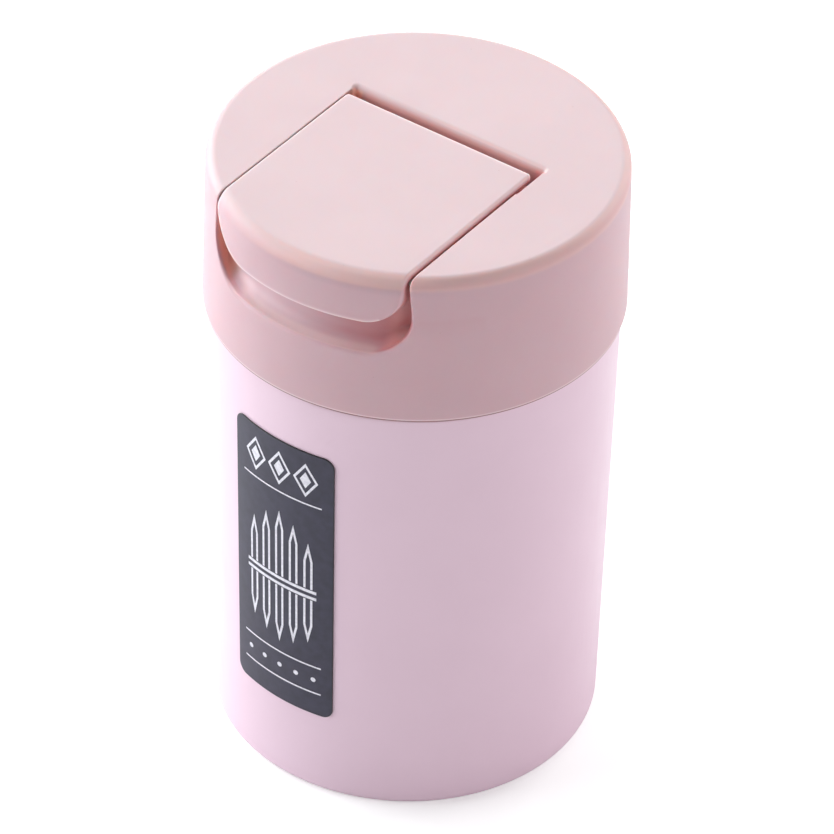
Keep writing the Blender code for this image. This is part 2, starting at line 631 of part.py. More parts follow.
def make_hinge_pin(material):
    end = POCKET_HALF_WIDTH + HINGE_RELIEF + SOCKET_DEPTH - PIN_GAP
    chamfer = HINGE_PIN_RADIUS / 3
    radius = HINGE_PIN_RADIUS
    profile = [(0.0, end), (radius - chamfer, end), (radius, end - chamfer), (radius, chamfer - end)]
    profile += [(radius - chamfer, -end), (0.0, -end)]
    pin = turned("hinge_pin", profile, PIN_STEPS)
    pin.matrix_world = Matrix.Translation((0.0, HINGE_Y, HINGE_Z)) @ Matrix.Rotation(math.pi / 2, 4, "Y")
    return finish_part(pin, material)


clear_scene()
PARTS = new_collection("toothpick_holder")
CUTTERS = new_collection("cutters")

lid_plastic = plastic("dusty_pink_plastic", (0.78, 0.56, 0.59), 0.55)
cup_plastic = plastic("lavender_pink_plastic", (0.80, 0.63, 0.70), 0.3)
inner_plastic = plastic("natural_plastic", (0.86, 0.85, 0.82), 0.4)
sticker = plastic("slate_sticker", (0.075, 0.075, 0.095), 0.45)
steel = plastic("plain_steel", (0.56, 0.56, 0.57), 0.3, 1.0)

make_body_cup(cup_plastic)
make_front_label(sticker)
make_lid_shell(lid_plastic)
make_lid_deck(inner_plastic)
make_screws(steel)
make_pick_sleeve(inner_plastic)
make_lift_cradle(inner_plastic)
make_flap_cover(lid_plastic)
make_flap_liner(inner_plastic)
make_hinge_pin(steel)
for helper in CUTTERS.objects:
    helper.hide_render = True
print(f"stub at rest: y {STUB_REAR_Y:.5f}, z {STUB_Z:.5f}; cradle lift {LIFT:.5f} at {LIFT_PER_RADIAN:.6f} a radian")
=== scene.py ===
# %% [markdown]
# # A pop-up toothpick holder
# The holder is four mouldings seen from outside: a tapered cup, a lid pushed over its neck, a flap that lies
# flush in the lid, and a dark sticker. The working model gives their places. Here each one gets its fine
# shape, its rounded edges and its finish, and the parts inside get theirs for when the flap is up or the lid
# is off.

# %% Tools and the working model
import math

import bmesh
import bpy
import numpy as np
from mathutils import Matrix, Vector


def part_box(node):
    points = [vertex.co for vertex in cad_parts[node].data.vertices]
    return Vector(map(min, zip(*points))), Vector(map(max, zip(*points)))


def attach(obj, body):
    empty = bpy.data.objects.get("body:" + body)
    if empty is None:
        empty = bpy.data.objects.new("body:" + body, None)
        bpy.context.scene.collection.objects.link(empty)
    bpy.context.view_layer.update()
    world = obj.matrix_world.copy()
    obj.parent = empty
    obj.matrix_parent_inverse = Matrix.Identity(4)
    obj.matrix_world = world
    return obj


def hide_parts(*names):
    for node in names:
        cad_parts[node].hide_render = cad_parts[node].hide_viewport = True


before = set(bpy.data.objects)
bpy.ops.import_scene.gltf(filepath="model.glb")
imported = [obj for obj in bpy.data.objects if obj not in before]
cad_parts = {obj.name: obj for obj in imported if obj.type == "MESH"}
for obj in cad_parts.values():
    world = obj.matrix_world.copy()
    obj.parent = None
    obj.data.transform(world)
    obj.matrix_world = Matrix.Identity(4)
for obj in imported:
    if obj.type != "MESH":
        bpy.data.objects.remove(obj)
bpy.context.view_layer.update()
MM = 0.001

# %% [markdown]
# ## The sizes that everything shares
# A maker works from one drawing, and so does this file. The lid's and the cup's tapers are straight lines,
# so a radius at any height is a blend between two radii. Taking them from the working model keeps the two in
# step.

# %% Shared sizes
LID_LOW, LID_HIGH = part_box("lid_shell")
HEIGHT = LID_HIGH.z
LID_BOTTOM = LID_LOW.z
LID_BOTTOM_RADIUS = LID_HIGH.x
LID_FLARE = 0.33 * MM
LID_OVERHANG = 0.68 * MM
BODY_TAPER = 0.88 * MM
LID_TOP_RADIUS = LID_BOTTOM_RADIUS - LID_FLARE
BODY_TOP_RADIUS = LID_BOTTOM_RADIUS - LID_OVERHANG
BODY_BOTTOM_RADIUS = BODY_TOP_RADIUS - BODY_TAPER
SEAT_GAP = 0.3 * MM
SHOULDER = LID_BOTTOM - SEAT_GAP
RIM_ROUND = 1.4 * MM
TURN_STEPS = 256


def lid_radius(z):
    """The lid's outer radius at a height: it grows evenly from the top edge to the bottom edge."""
    return LID_TOP_RADIUS + LID_FLARE * (HEIGHT - z) / (HEIGHT - LID_BOTTOM)


def body_radius(z):
    """The cup's outer radius at a height: it grows evenly from the foot to the shoulder."""
    return BODY_BOTTOM_RADIUS + BODY_TAPER * z / SHOULDER


print(f"lid {2e3 * LID_BOTTOM_RADIUS:.2f} mm across, cup {2e3 * BODY_TOP_RADIUS:.2f} mm at its shoulder")

# %% [markdown]
# ## Camera
# A product picture taken from far away with a long lens has almost parallel edges. The camera stands 0.78 m
# off, looks down by 39 degrees and from 35 degrees to the right of the flap, and leans by a degree and a
# half. A Track To constraint could aim it, but three axes worked out from two angles need no helper object.

# %% Camera
CAMERA_TILT = 0.67965
CAMERA_TURN = 0.61308
CAMERA_LEAN = -0.02584
CAMERA_DISTANCE = 781.9 * MM
AIM_RIGHT = -0.00084
AIM_UP = -0.00104
LENS = 264.9

target = Vector((0.0, 0.0, HEIGHT / 2))
back = Vector((
    math.sin(CAMERA_TURN) * math.cos(CAMERA_TILT),
    -math.cos(CAMERA_TURN) * math.cos(CAMERA_TILT),
    math.sin(CAMERA_TILT),
))
level = Vector((math.cos(CAMERA_TURN), math.sin(CAMERA_TURN), 0.0))
axes = Matrix((level, back.cross(level), back)).transposed()
aim = Matrix.Rotation(AIM_RIGHT, 3, "Y") @ Matrix.Rotation(-AIM_UP, 3, "X")
aim = aim @ Matrix.Rotation(-CAMERA_LEAN, 3, "Z")
lens = bpy.data.cameras.new("long_lens")
lens.lens = LENS
lens.clip_start = 0.05
lens.clip_end = 20.0
camera = bpy.data.objects.new("camera", lens)
camera.matrix_world = Matrix.Translation(target + back * CAMERA_DISTANCE) @ (axes @ aim).to_4x4()
bpy.context.scene.collection.objects.link(camera)
bpy.context.scene.camera = camera
bpy.context.scene.view_settings.view_transform = "Standard"
print("camera at", [round(v, 3) for v in camera.location])

# %% [markdown]
# ## Helpers for surfaces
# Every new shape is a grid of points. One function turns a grid into faces, another spins a profile into
# such a grid, and a third finishes a closed mesh: it welds doubled points, as at a pole, and turns all faces
# outwards.

# %% Meshes from grids
def add_piece(name, mesh):
    """An object at the origin, unturned and unscaled, that holds a finished mesh."""
    made = bpy.data.objects.new(name, mesh)
    bpy.context.scene.collection.objects.link(made)
    return made


def welded(mesh, gap=1e-7):
    """Merges points closer than a gap and turns every face of a closed mesh outwards."""
    work = bmesh.new()
    work.from_mesh(mesh)
    bmesh.ops.remove_doubles(work, verts=work.verts, dist=gap)
    bmesh.ops.recalc_face_normals(work, faces=work.faces)
    work.to_mesh(mesh)
    work.free()
    return mesh


def grid_faces(rows, columns, ring=False):
    """Quads between neighbours of a grid whose points are numbered row by row; a ring joins last to first."""
    index = np.arange(rows * columns).reshape(rows, columns)
    if ring:
        index = np.hstack((index, index[:, :1]))
    corners = (index[:-1, :-1], index[1:, :-1], index[1:, 1:], index[:-1, 1:])
    return np.stack(corners, axis=-1).reshape(-1, 4)


def piece_from(name, points, faces, marks=None):
    """A closed piece from an array of points and lists of point numbers; marks becomes its edge attribute."""
    mesh = bpy.data.meshes.new(name)
    mesh.from_pydata(points.reshape(-1, 3).tolist(), [], [tuple(int(i) for i in face) for face in faces])
    if marks is not None:
        mesh.attributes.new("edge", "FLOAT", "POINT").data.foreach_set("value", marks.ravel())
    return add_piece(name, welded(mesh))


def closed_sheet(name, outer, inner, marks, inner_mark):
    """A closed piece from two grids of points, joined round their borders, with its edge attribute."""
    rows, columns = outer.shape[:2]
    count = rows * columns
    index = np.arange(count).reshape(rows, columns)
    border = np.concatenate((index[0, :-1], index[:-1, -1], index[-1, :0:-1], index[:0:-1, 0]))
    after = np.roll(border, -1)
    strip = np.stack((border, after, after + count, border + count), axis=1)
    sheet = grid_faces(rows, columns)
    faces = np.vstack((sheet, sheet[:, ::-1] + count, strip))
    points = np.concatenate((outer.reshape(-1, 3), inner.reshape(-1, 3)))
    return piece_from(name, points, faces, np.concatenate((marks.ravel(), np.full(count, inner_mark))))


# %% Arcs and turned profiles
def arc(centre_u, centre_v, radius, start, end, steps):
    """Points on an arc between two angles in degrees: centre plus radius times (cosine, sine)."""
    angles = np.radians(np.linspace(start, end, steps + 1))
    return np.stack((centre_u + radius * np.cos(angles), centre_v + radius * np.sin(angles)), axis=1)


def spun(name, *profile, steps=TURN_STEPS, closed=False):
    """Stretches of (radius, height) points spun round the axis: (r cos a, r sin a, z) for each angle a."""
    line = np.vstack(profile)
    if closed:
        line = np.vstack((line, line[:1]))
    angles = np.linspace(0.0, 2 * math.pi, steps, endpoint=False)
    radius, z = line[:, :1], np.repeat(line[:, 1:], steps, axis=1)
    points = np.stack((radius * np.cos(angles), radius * np.sin(angles), z), axis=-1)
    return piece_from(name, points, grid_faces(len(line), steps, ring=True))


def cylinder(name, radius, low, high, steps=TURN_STEPS):
    """A closed upright cylinder: a straight wall and two flat ends, spun as one line."""
    return spun(name, [(0.0, high), (radius, high), (radius, low), (0.0, low)], steps=steps)


# %% Shading and sizes
def smooth(piece, angle=30.0):
    """Smooth shading with crisp edges past an angle; large faces keep their own direction."""
    piece.data.shade_smooth()
    piece.data.set_sharp_from_angle(angle=math.radians(angle))
    weighted = piece.modifiers.new("weighted_normals", "WEIGHTED_NORMAL")
    weighted.keep_sharp = True
    return piece


def told(piece):
    """Says what a piece measures."""
    reach = np.ptp([v.co for v in piece.data.vertices], axis=0) / MM
    size = " x ".join(f"{side:.2f}" for side in reach)
    print(f"{piece.name}: {size} mm, {len(piece.data.polygons)} faces")
    return piece


# %% [markdown]
# ## Helpers for finishes
# Colours are written as sRGB hex, as on a colour card, and turned to linear light once. A finish is built by
# adding nodes one at a time: a type, its settings, and what feeds each socket.

# %% Colours and nodes
def linear(code):
    """An sRGB hex colour as linear light, with full alpha."""
    share = np.array([int(code[i:i + 2], 16) for i in (0, 2, 4)]) / 255.0
    light = np.where(share <= 0.04045, share / 12.92, ((share + 0.055) / 1.055) ** 2.4)
    return (*light.tolist(), 1.0)


def add_node(material, kind, settings=None, **sockets):
    """One node with its settings; a socket, by name or as _ and its number, takes a value or an output."""
    node = material.node_tree.nodes.new(kind)
    for name, value in (settings or {}).items():
        setattr(node, name, value)
    for name, value in sockets.items():
        socket = node.inputs[int(name[1:])] if name[1:].isdigit() else node.inputs[name.replace("_", " ")]
        if isinstance(value, bpy.types.NodeSocket):
            material.node_tree.links.new(value, socket)
        else:
            socket.default_value = value
    return node


def new_finish(name, colour, roughness, **constants):
    """A Principled finish with its constants on the shader's own sockets."""
    made = bpy.data.materials.new(name)
    made.use_nodes = True
    shader = made.node_tree.nodes["Principled BSDF"]
    for socket, value in {"Base_Color": linear(colour), "Roughness": roughness, **constants}.items():
        shader.inputs[socket.replace("_", " ")].default_value = value
    return made, shader


def link(material, output, socket):
    """Joins a node's output to a socket."""
    material.node_tree.links.new(output, socket)


def object_place(material):
    """The piece's own coordinates, which stay with it when it moves."""
    return add_node(material, "ShaderNodeTexCoord").outputs["Object"]


# %% Layers, mottle and relief
def painted(material, first, *layers):
    """A colour with layers over it, each a share from 0 to 1 and a colour, as a hex code or an output."""
    tint = linear(first) if isinstance(first, str) else first
    for share, colour in layers:
        colour = linear(colour) if isinstance(colour, str) else colour
        mix = add_node(material, "ShaderNodeMix", {"data_type": "RGBA"}, _0=share, _6=tint, _7=colour)
        tint = mix.outputs[2]
    return tint


def per_mm(spacing):
    """The noise scale, in waves per metre, of a pattern with this spacing in millimetres."""
    return 1.0 / (spacing * MM)


def mottle(material, spacing, low, high, detail=2.0):
    """Noise on the piece's own coordinates, stretched so that low to high becomes 0 to 1."""
    place = object_place(material)
    noise = add_node(material, "ShaderNodeTexNoise", Vector=place, Scale=per_mm(spacing), Detail=detail)
    spread = add_node(material, "ShaderNodeMapRange", Value=noise.outputs["Fac"], From_Min=low, From_Max=high)
    return spread.outputs["Result"]


def roughen(material, shader, spacing, strength, height, detail=2.0):
    """Fine noise as relief on the shader; its spacing and its height are in millimetres."""
    place = object_place(material)
    noise = add_node(material, "ShaderNodeTexNoise", Vector=place, Scale=per_mm(spacing), Detail=detail)
    bump = add_node(
        material, "ShaderNodeBump", Height=noise.outputs["Fac"], Strength=strength, Distance=height * MM
    )
    link(material, bump.outputs["Normal"], shader.inputs["Normal"])


# %% [markdown]
# ## Where a tone lies on the lid
# The lid and the flap are thin and pink, so light that gets into a slit, the recess or the rounded rim
# scatters many times and comes out warmer. The render follows only the first few of those bounces, so the
# rest is painted. A point is measured on the closed lid, and a tone fills the zone where a few of those
# measures lie within limits.

# %% Zones on the lid
TURN_ROUND = 1.7 * MM
SKIRT_FALL = (HEIGHT - LID_BOTTOM) / MM
SKIRT_RADIUS = LID_BOTTOM_RADIUS / MM
RECESS_FALL = 11.53


def measured(material):
    """A point's x and y, across (x without its sign), fall (below the top), radius, and past.

    past is the distance past the centre of a 1.7 mm rounding at the rim, halfway between the cap's 1.4 mm and
    the lip's 2.0 mm. Near the rim, 1.7 mm less past is the depth under the surface.
    """
    place = object_place(material)
    x, y, z = add_node(material, "ShaderNodeSeparateXYZ", Vector=place).outputs
    across = add_node(material, "ShaderNodeMath", {"operation": "ABSOLUTE"}, _0=x).outputs[0]
    fall = add_node(material, "ShaderNodeMath", {"operation": "SUBTRACT"}, _0=HEIGHT, _1=z).outputs[0]
    length = {"operation": "LENGTH"}
    flat = add_node(material, "ShaderNodeCombineXYZ", X=x, Y=y).outputs[0]
    radius = add_node(material, "ShaderNodeVectorMath", length, _0=flat).outputs["Value"]
    step = add_node(material, "ShaderNodeCombineXYZ", X=radius, Y=z).outputs[0]
    centre = (LID_TOP_RADIUS - TURN_ROUND, HEIGHT - TURN_ROUND, 0.0)
    for how, other in (("SUBTRACT", centre), ("MAXIMUM", (0.0, 0.0, 0.0))):
        step = add_node(material, "ShaderNodeVectorMath", {"operation": how}, _0=step, _1=other).outputs[0]
    past = add_node(material, "ShaderNodeVectorMath", length, _0=step).outputs["Value"]
    return {"x": x, "y": y, "across": across, "fall": fall, "radius": radius, "past": past}


def zone(material, measures, limits, choices=(), share=1.0):
    """Where all limits hold, and those of one choice too if there are any, times a share.

    A limit is a measure's name, and the millimetres where it begins and where it is full, with a soft S
    between them.
    """
    times = {"operation": "MULTIPLY"}

    def within(some, part):
        for name, start, full in some:
            held = add_node(
                material, "ShaderNodeMapRange", {"interpolation_type": "SMOOTHSTEP"}, Value=measures[name],
                From_Min=start * MM, From_Max=full * MM,
            ).outputs["Result"]
            part = add_node(material, "ShaderNodeMath", times, _0=part, _1=held).outputs[0]
        return part

    best = 0.0 if choices else share
    for choice in choices:
        held = within(choice, share)
        best = add_node(material, "ShaderNodeMath", {"operation": "MAXIMUM"}, _0=best, _1=held).outputs[0]
    return within(limits, best)


print(f"the skirt ends {SKIRT_FALL:.2f} mm below the top, at a radius of {SKIRT_RADIUS:.2f} mm")

# %% [markdown]
# ## The lid's tones
# Each tone is painted light or shade, with its colour, its share and its zone: warm scattered light, painted
# shade in the slits, under the rim, under the skirt and at the recess's right end, and painted light on the
# recess's floor and left end. They are listed in the order in which they are painted, from the broad ones to
# the thin dark and bright lines. Where a tone has two colours, the first turns into the second from the left
# to the right.

# %% Tones of the lid
IN_WELL = ("across", 15.2, 14.9)
SLIT_WALL = (("across", 12.9, 13.5), ("fall", 6.8, 5.8))
SLIT_WALLS = ((*SLIT_WALL, ("fall", 2.6, 1.6)), (*SLIT_WALL, ("radius", 21.0, 22.5)))
BESIDE_LIP = (
    (("across", 10.6, 12.2), ("fall", 5.8, 6.8), ("radius", 22.95, 23.3)),
    (("across", 10.5, 12.0), ("fall", 7.2, 6.6), ("radius", 25.2, 24.6), ("radius", 22.4, 22.7)),
)
RIM_MIDDLE = (("x", -7.0, 3.0), ("x", 20.0, 13.0), ("past", 1.4, 1.55))
IN_RECESS = (
    ("fall", 5.6, 6.4), ("fall", RECESS_FALL + 0.1, RECESS_FALL), ("y", -15.0, -16.0), ("radius", 22.3, 22.6),
    ("past", 1.85, 1.55),
)
TONES = {
    "well's rear wall": ("CF9893", 0.85, (
        IN_WELL, ("y", 4.2, 4.5), ("y", 7.4, 6.6), ("past", 1.7, 1.0), ("fall", 3.2, 2.0),
    )),
    "rim in the shade": ("E4B7B1", 0.5, (
        ("x", -18.0, 4.0), ("fall", 1.9, 1.2), ("fall", 0.01, 0.15), ("past", 1.5, 1.65),
    )),
    "side under the rim": ("C4A0AB", 0.4, (*RIM_MIDDLE, ("fall", 1.2, 1.6), ("fall", 2.6, 1.9))),
    # The lip's rounding is wider than the cap's, so past is smaller on the lip, and its glow reaches lower
    "glow in the rim": ("F0CCCA", 0.6, (*RIM_MIDDLE, ("fall", 0.01, 0.3)), (
        (("past", 1.725, 1.7), ("fall", 1.75, 0.7)), (("past", 1.7, 1.725), ("fall", 1.15, 0.5)),
    )),
    "recess's floor": ("DFC0C3", 1.0, (
        *IN_RECESS, ("fall", 11.05, 11.45), ("radius", 24.0, 25.2), ("across", 12.4, 11.0),
    )),
    "recess's left end": ("F1CBD2", 1.0, (
        *IN_RECESS, ("x", -6.5, -9.9), ("x", -12.0, -10.8), ("fall", 9.8, 10.8),
    )),
    "recess's right end": ("C27C81", 1.0, (*IN_RECESS, ("x", -1.0, 13.0), ("fall", 12.0, 10.4))),
    "slits and lip's sides": ("F4B5A3 DE9898", 0.9, (
        IN_WELL, ("y", 6.6, 6.2), ("past", 1.6, 1.1),
    ), (*SLIT_WALLS, *BESIDE_LIP)),
    "line in the slits": ("3E2A2A", 0.5, (
        IN_WELL, ("across", 14.2, 14.35), ("y", 6.0, 5.6), ("past", 1.6, 1.35), ("past", 0.2, 0.8),
        ("fall", 3.2, 1.6),
    ), SLIT_WALLS),
    # Painted shadow: a dark line under the skirt's lower edge
    "painted shadow under the skirt": ("7A403C", 0.85, (
        ("fall", SKIRT_FALL - 0.34, SKIRT_FALL - 0.24), ("radius", SKIRT_RADIUS - 0.6, SKIRT_RADIUS - 0.5),
    )),
}
# A painted highlight: a pale line along the skirt just above its lower edge
SKIRT_HIGHLIGHT = (("fall", SKIRT_FALL - 0.27, SKIRT_FALL - 0.36), ("fall", SKIRT_FALL - 0.56, SKIRT_FALL - 0.46))
LEFT_TO_RIGHT = (("x", -8.0, 12.0),)
print("tones:", ", ".join(TONES))

# %% [markdown]
# ## Lid plastic
# The lid and the flap are moulded polypropylene. Their tops have a spark-eroded grain that scatters light, so
# they are a little rougher; the sides must slide out of the tool, so they are smoother. The tops' paler,
# chalkier colour is a painted sheen, and the sides keep the deeper pink. Two materials would leave a seam
# where they meet, so one finish changes with the height, at the rounded rim. The flap's free edges and a line
# on the skirt are painted paler, as a painted highlight. A few specks are dust in the melt.

# %% Lid finish
def make_lid_finish():
    finish, shader = new_finish(
        "spark_eroded_pink_polypropylene", "D4B4BB", 0.46, IOR=1.49,
        Subsurface_Weight=0.5, Subsurface_Radius=(1.0, 0.35, 0.25), Subsurface_Scale=0.7 * MM,
    )
    measures = measured(finish)
    top = zone(finish, measures, (("fall", 0.95, 0.02),))
    cloud = mottle(finish, 9.0, 0.35, 0.65)
    place = object_place(finish)
    cells = add_node(finish, "ShaderNodeTexVoronoi", Vector=place, Scale=per_mm(3.2))
    speck = add_node(
        finish, "ShaderNodeMapRange", Value=cells.outputs["Distance"], From_Min=0.015, From_Max=0.03,
        To_Min=0.5, To_Max=0.0,
    )
    side_tint = painted(finish, "D0ABB4", (cloud, "D2ADB6"))
    # The top's paler tint is a painted sheen
    painted_sheen_top_tint = painted(finish, "D5BCC0", (cloud, "D7BEC2"))
    tint = painted(finish, side_tint, (top, painted_sheen_top_tint), (speck.outputs["Result"], "B98B88"))
    rightward = zone(finish, measures, LEFT_TO_RIGHT)
    for codes, share, limits, *choices in TONES.values():
        left, *right = codes.split()
        colour = painted(finish, left, *((rightward, code) for code in right))
        tint = painted(finish, tint, (zone(finish, measures, limits, *choices, share=share), colour))
    # Painted highlight: the flap's edge attribute and a line on the skirt are mixed towards a pale colour
    edge = add_node(finish, "ShaderNodeAttribute", {"attribute_name": "edge"}).outputs["Fac"]
    skirt = zone(finish, measures, SKIRT_HIGHLIGHT, share=0.55)
    painted_highlight = add_node(finish, "ShaderNodeMath", {"operation": "MAXIMUM"}, _0=edge, _1=skirt).outputs[0]
    painted_highlight = add_node(finish, "ShaderNodeMath", {"operation": "MULTIPLY"}, _0=painted_highlight, _1=0.7).outputs[0]
    link(finish, painted(finish, tint, (painted_highlight, "FBEDEE")), shader.inputs["Base Color"])
    # The tool's grain is about 0.05 mm; it is drawn at 0.22 mm, the finest that this picture can hold
    roughen(finish, shader, 0.22, 0.12, 0.02)
    rough = add_node(finish, "ShaderNodeMapRange", Value=top, To_Min=0.42, To_Max=0.48)
    link(finish, rough.outputs["Result"], shader.inputs["Roughness"])
    return finish


lid_finish = make_lid_finish()
print("finish:", lid_finish.name)

# %% [markdown]
# ## Cup plastic
# The cup is the same family of plastic from a polished tool. It is smoother and cooler in colour, and the
# soft boxes show on it as long upright bands. Handling has left hairline scuffs that only change the
# roughness. A photographed scratch map could give them, but noise drawn out along one direction never
# repeats and needs no UV map.

# %% Cup finish
def make_cup_finish():
    finish, shader = new_finish("satin_lavender_pink_polypropylene", "E9CADB", 0.34, IOR=1.5)
    cloud = mottle(finish, 14.0, 0.35, 0.65)
    link(finish, painted(finish, "E8C9DA", (cloud, "EACBDC")), shader.inputs["Base Color"])
    turned = add_node(
        finish, "ShaderNodeMapping", Vector=object_place(finish), Rotation=(0.3, 0.2, 0.5),
        Scale=(1.0, 1.0, 0.08),
    ).outputs["Vector"]
    hair = add_node(finish, "ShaderNodeTexNoise", Vector=turned, Scale=per_mm(0.5), Detail=3.0)
    scuff = add_node(
        finish, "ShaderNodeMapRange", Value=hair.outputs["Fac"], From_Min=0.45, From_Max=0.75,
        To_Min=0.32, To_Max=0.42,
    )
    link(finish, scuff.outputs["Result"], shader.inputs["Roughness"])
    roughen(finish, shader, 0.35, 0.05, 0.01, detail=1.0)
    return finish


cup_finish = make_cup_finish()
print("finish:", cup_finish.name)

# %% [markdown]
# ## Sticker film, ink, inner plastic and steel
# The sticker is printed film with a satin laminate: dark slate with a faint haze. Its pale ink sits on top
# in a thin coat. The parts inside are undyed polypropylene, a little milky, and the pin and screws are drawn
# steel with fine marks along their length.

# %% Other finishes
def make_film_finish():
    finish, shader = new_finish("satin_laminated_slate_film", "2F2B40", 0.36, IOR=1.5)
    haze = mottle(finish, 1.4, 0.3, 0.7, 4.0)
    cut = add_node(finish, "ShaderNodeAttribute", {"attribute_name": "edge"}).outputs["Fac"]
    tint = painted(finish, "2A263A", (haze, "353147"), (cut, "0E0912"))
    link(finish, tint, shader.inputs["Base Color"])
    roughen(finish, shader, 0.2, 0.1, 0.01)
    return finish


def make_ink_finish():
    finish, shader = new_finish("screen_printed_pale_ink", "E9E4F0", 0.5, IOR=1.5)
    cover = mottle(finish, 0.4, 0.3, 0.7)
    link(finish, painted(finish, "DAD5E2", (cover, "F2EEF7")), shader.inputs["Base Color"])
    return finish


def make_inner_finish():
    finish, shader = new_finish(
        "undyed_moulded_polypropylene", "EDE9E4", 0.42, IOR=1.49,
        Subsurface_Weight=0.15, Subsurface_Radius=(1.0, 0.9, 0.8), Subsurface_Scale=0.6 * MM,
    )
    cloud = mottle(finish, 6.0, 0.3, 0.7)
    link(finish, painted(finish, "EAE6E0", (cloud, "F0EDE9")), shader.inputs["Base Color"])
    roughen(finish, shader, 0.25, 0.08, 0.01)
    return finish


def make_steel_finish():
    finish, shader = new_finish("drawn_steel", "C2C2C4", 0.28, Metallic=1.0)
    along = add_node(
        finish, "ShaderNodeMapping", Vector=object_place(finish), Scale=(0.1, 1.0, 1.0)
    ).outputs["Vector"]
    marks = add_node(finish, "ShaderNodeTexNoise", Vector=along, Scale=per_mm(0.12), Detail=2.0)
    rough = add_node(finish, "ShaderNodeMapRange", Value=marks.outputs["Fac"], To_Min=0.2, To_Max=0.38)
    link(finish, rough.outputs["Result"], shader.inputs["Roughness"])
    return finish


film_finish = make_film_finish()
ink_finish = make_ink_finish()
inner_finish = make_inner_finish()
steel_finish = make_steel_finish()
print("finishes:", len(bpy.data.materials))

# %% [markdown]
# ## Cup
# The cup is a turned form, so its cross-section says everything: foot ring, tapered wall, shoulder, neck
# with a low bead that holds the lid, and the hollow. A cylinder could be pushed into shape ring by ring, but
# one line spun 256 times round keeps every radius exact and leaves no flats.

# %% Cup
BASE_ROUND = 1.4 * MM
SHOULDER_ROUND = 0.25 * MM
BODY_WALL = 1.7 * MM
FLOOR_THICK = 1.8 * MM
FOOT_RECESS = 1.0 * MM
FOOT_WIDTH = 3.0 * MM
LID_WALL = 1.6 * MM
NECK_WALL = 1.2 * MM
NECK_HEIGHT = 5.0 * MM
BEAD_HEIGHT = 0.2 * MM
BEAD_DROP = 1.8 * MM
LID_INNER_RADIUS = LID_BOTTOM_RADIUS - LID_WALL
NECK_OUTER = LID_INNER_RADIUS - SEAT_GAP
NECK_INNER = NECK_OUTER - NECK_WALL
NECK_TOP = SHOULDER + NECK_HEIGHT


def make_cup():
    """The cup's section from the middle of its floor, up the hollow, over the neck and down to the foot."""
    floor_top = FOOT_RECESS + FLOOR_THICK
    inner = BODY_BOTTOM_RADIUS - BODY_WALL
    bead = NECK_TOP - BEAD_DROP
    foot = BODY_BOTTOM_RADIUS - BASE_ROUND
    lip = NECK_WALL / 2
    edge = BODY_TOP_RADIUS - SHOULDER_ROUND
    heights = np.linspace(SHOULDER - SHOULDER_ROUND, BASE_ROUND, 24)[1:-1]
    wall = np.column_stack((body_radius(heights), heights))
    return spun(
        "cup",
        [(0.0, floor_top)],
        arc(inner - BASE_ROUND, floor_top + BASE_ROUND, BASE_ROUND, -90, 0, 8),
        [(NECK_INNER, SHOULDER), (NECK_INNER, NECK_TOP - lip)],
        arc(NECK_OUTER - lip, NECK_TOP - lip, lip, 180, 0, 16)[1:],
        arc(NECK_OUTER - BEAD_HEIGHT, bead, 2 * BEAD_HEIGHT, 60, -60, 8),
        [(NECK_OUTER, SHOULDER)],
        arc(edge, SHOULDER - SHOULDER_ROUND, SHOULDER_ROUND, 90, 0, 5),
        wall,
        arc(body_radius(BASE_ROUND) - BASE_ROUND, BASE_ROUND, BASE_ROUND, 0, -90, 12),
        arc(foot - FOOT_WIDTH, FOOT_RECESS / 2, FOOT_RECESS / 2, -90, 0, 4)[:1],
        [(foot - FOOT_WIDTH - FOOT_RECESS, FOOT_RECESS), (0.0, FOOT_RECESS)],
    )


cup = smooth(told(make_cup()))
cup.data.materials.append(cup_finish)
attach(cup, "cup")
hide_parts("body_cup")

# %% [markdown]
# ## Flap
# The flap is one surface that is flat behind, rolls over the rim and falls as a lip that follows the lid's
# round side. Cutting it from the cap would leave edges that no Bevel rounds evenly, so it is worked out:
# across it runs x and along it runs a path, and each point is a function of the two. Its edges are rounded
# by sinking the points near the outline along an arc: wide at the sides, tight at the rear and at the lip's
# edge. Below that arc the side walls lean in, which leaves room for the swing and makes the slit look dark.

# %% Flap sizes
FLAP_LOW, FLAP_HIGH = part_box("flap_cover")
FLAP_HALF = FLAP_HIGH.x
FLAP_REAR = FLAP_HIGH.y
LIP_BOTTOM = FLAP_LOW.z - 0.15 * MM
FLAP_WALL = 1.6 * MM
FLAP_RIM_ROUND = 2.0 * MM
LIP_CORNER = 4.45 * MM
LEFT_CORNER = 6.0 * MM
REAR_CORNER = 0.5 * MM
LEFT_EDGE = 0.3 * MM
RIGHT_EDGE = 0.6 * MM
LEFT_REACH = 0.14 * MM
RIGHT_REACH = -0.3 * MM
LIP_EDGE = 0.15 * MM
SHINE_WIDTH = 0.28 * MM
REAR_EDGE = 0.14 * MM
RIM_Z = HEIGHT - FLAP_RIM_ROUND
RIM_START = lid_radius(RIM_Z) - FLAP_RIM_ROUND
FLAP_UNDERCUT = 0.5 * MM
FLAP_ROWS = 26
FLAP_COLUMNS = 121


# %% Rounded outlines
def outline_distance(across, along, corner):
    """Distance from a rounded outline to points inside it, and the share of the nearest side's direction.

    across and along are distances from the side and from the end. Past the corner's centre both ways, the
    distance is the corner's radius less that to its centre; elsewhere it is the smaller of the two.
    """
    side, end = corner - across, corner - along
    reach = np.hypot(side, end)
    in_corner = (side > 0.0) & (end > 0.0)
    distance = np.where(in_corner, corner - reach, np.minimum(across, along))
    sideways = np.where(in_corner, side / np.maximum(reach, 1e-9), np.where(across < along, 1.0, 0.0))
    return np.maximum(distance, 0.0), sideways


def half_chord(radius, rise):
    """Half the width of a circle at a height above its lowest point, up to its middle."""
    return np.sqrt(np.maximum(radius**2 - (radius - rise) ** 2, 0.0))


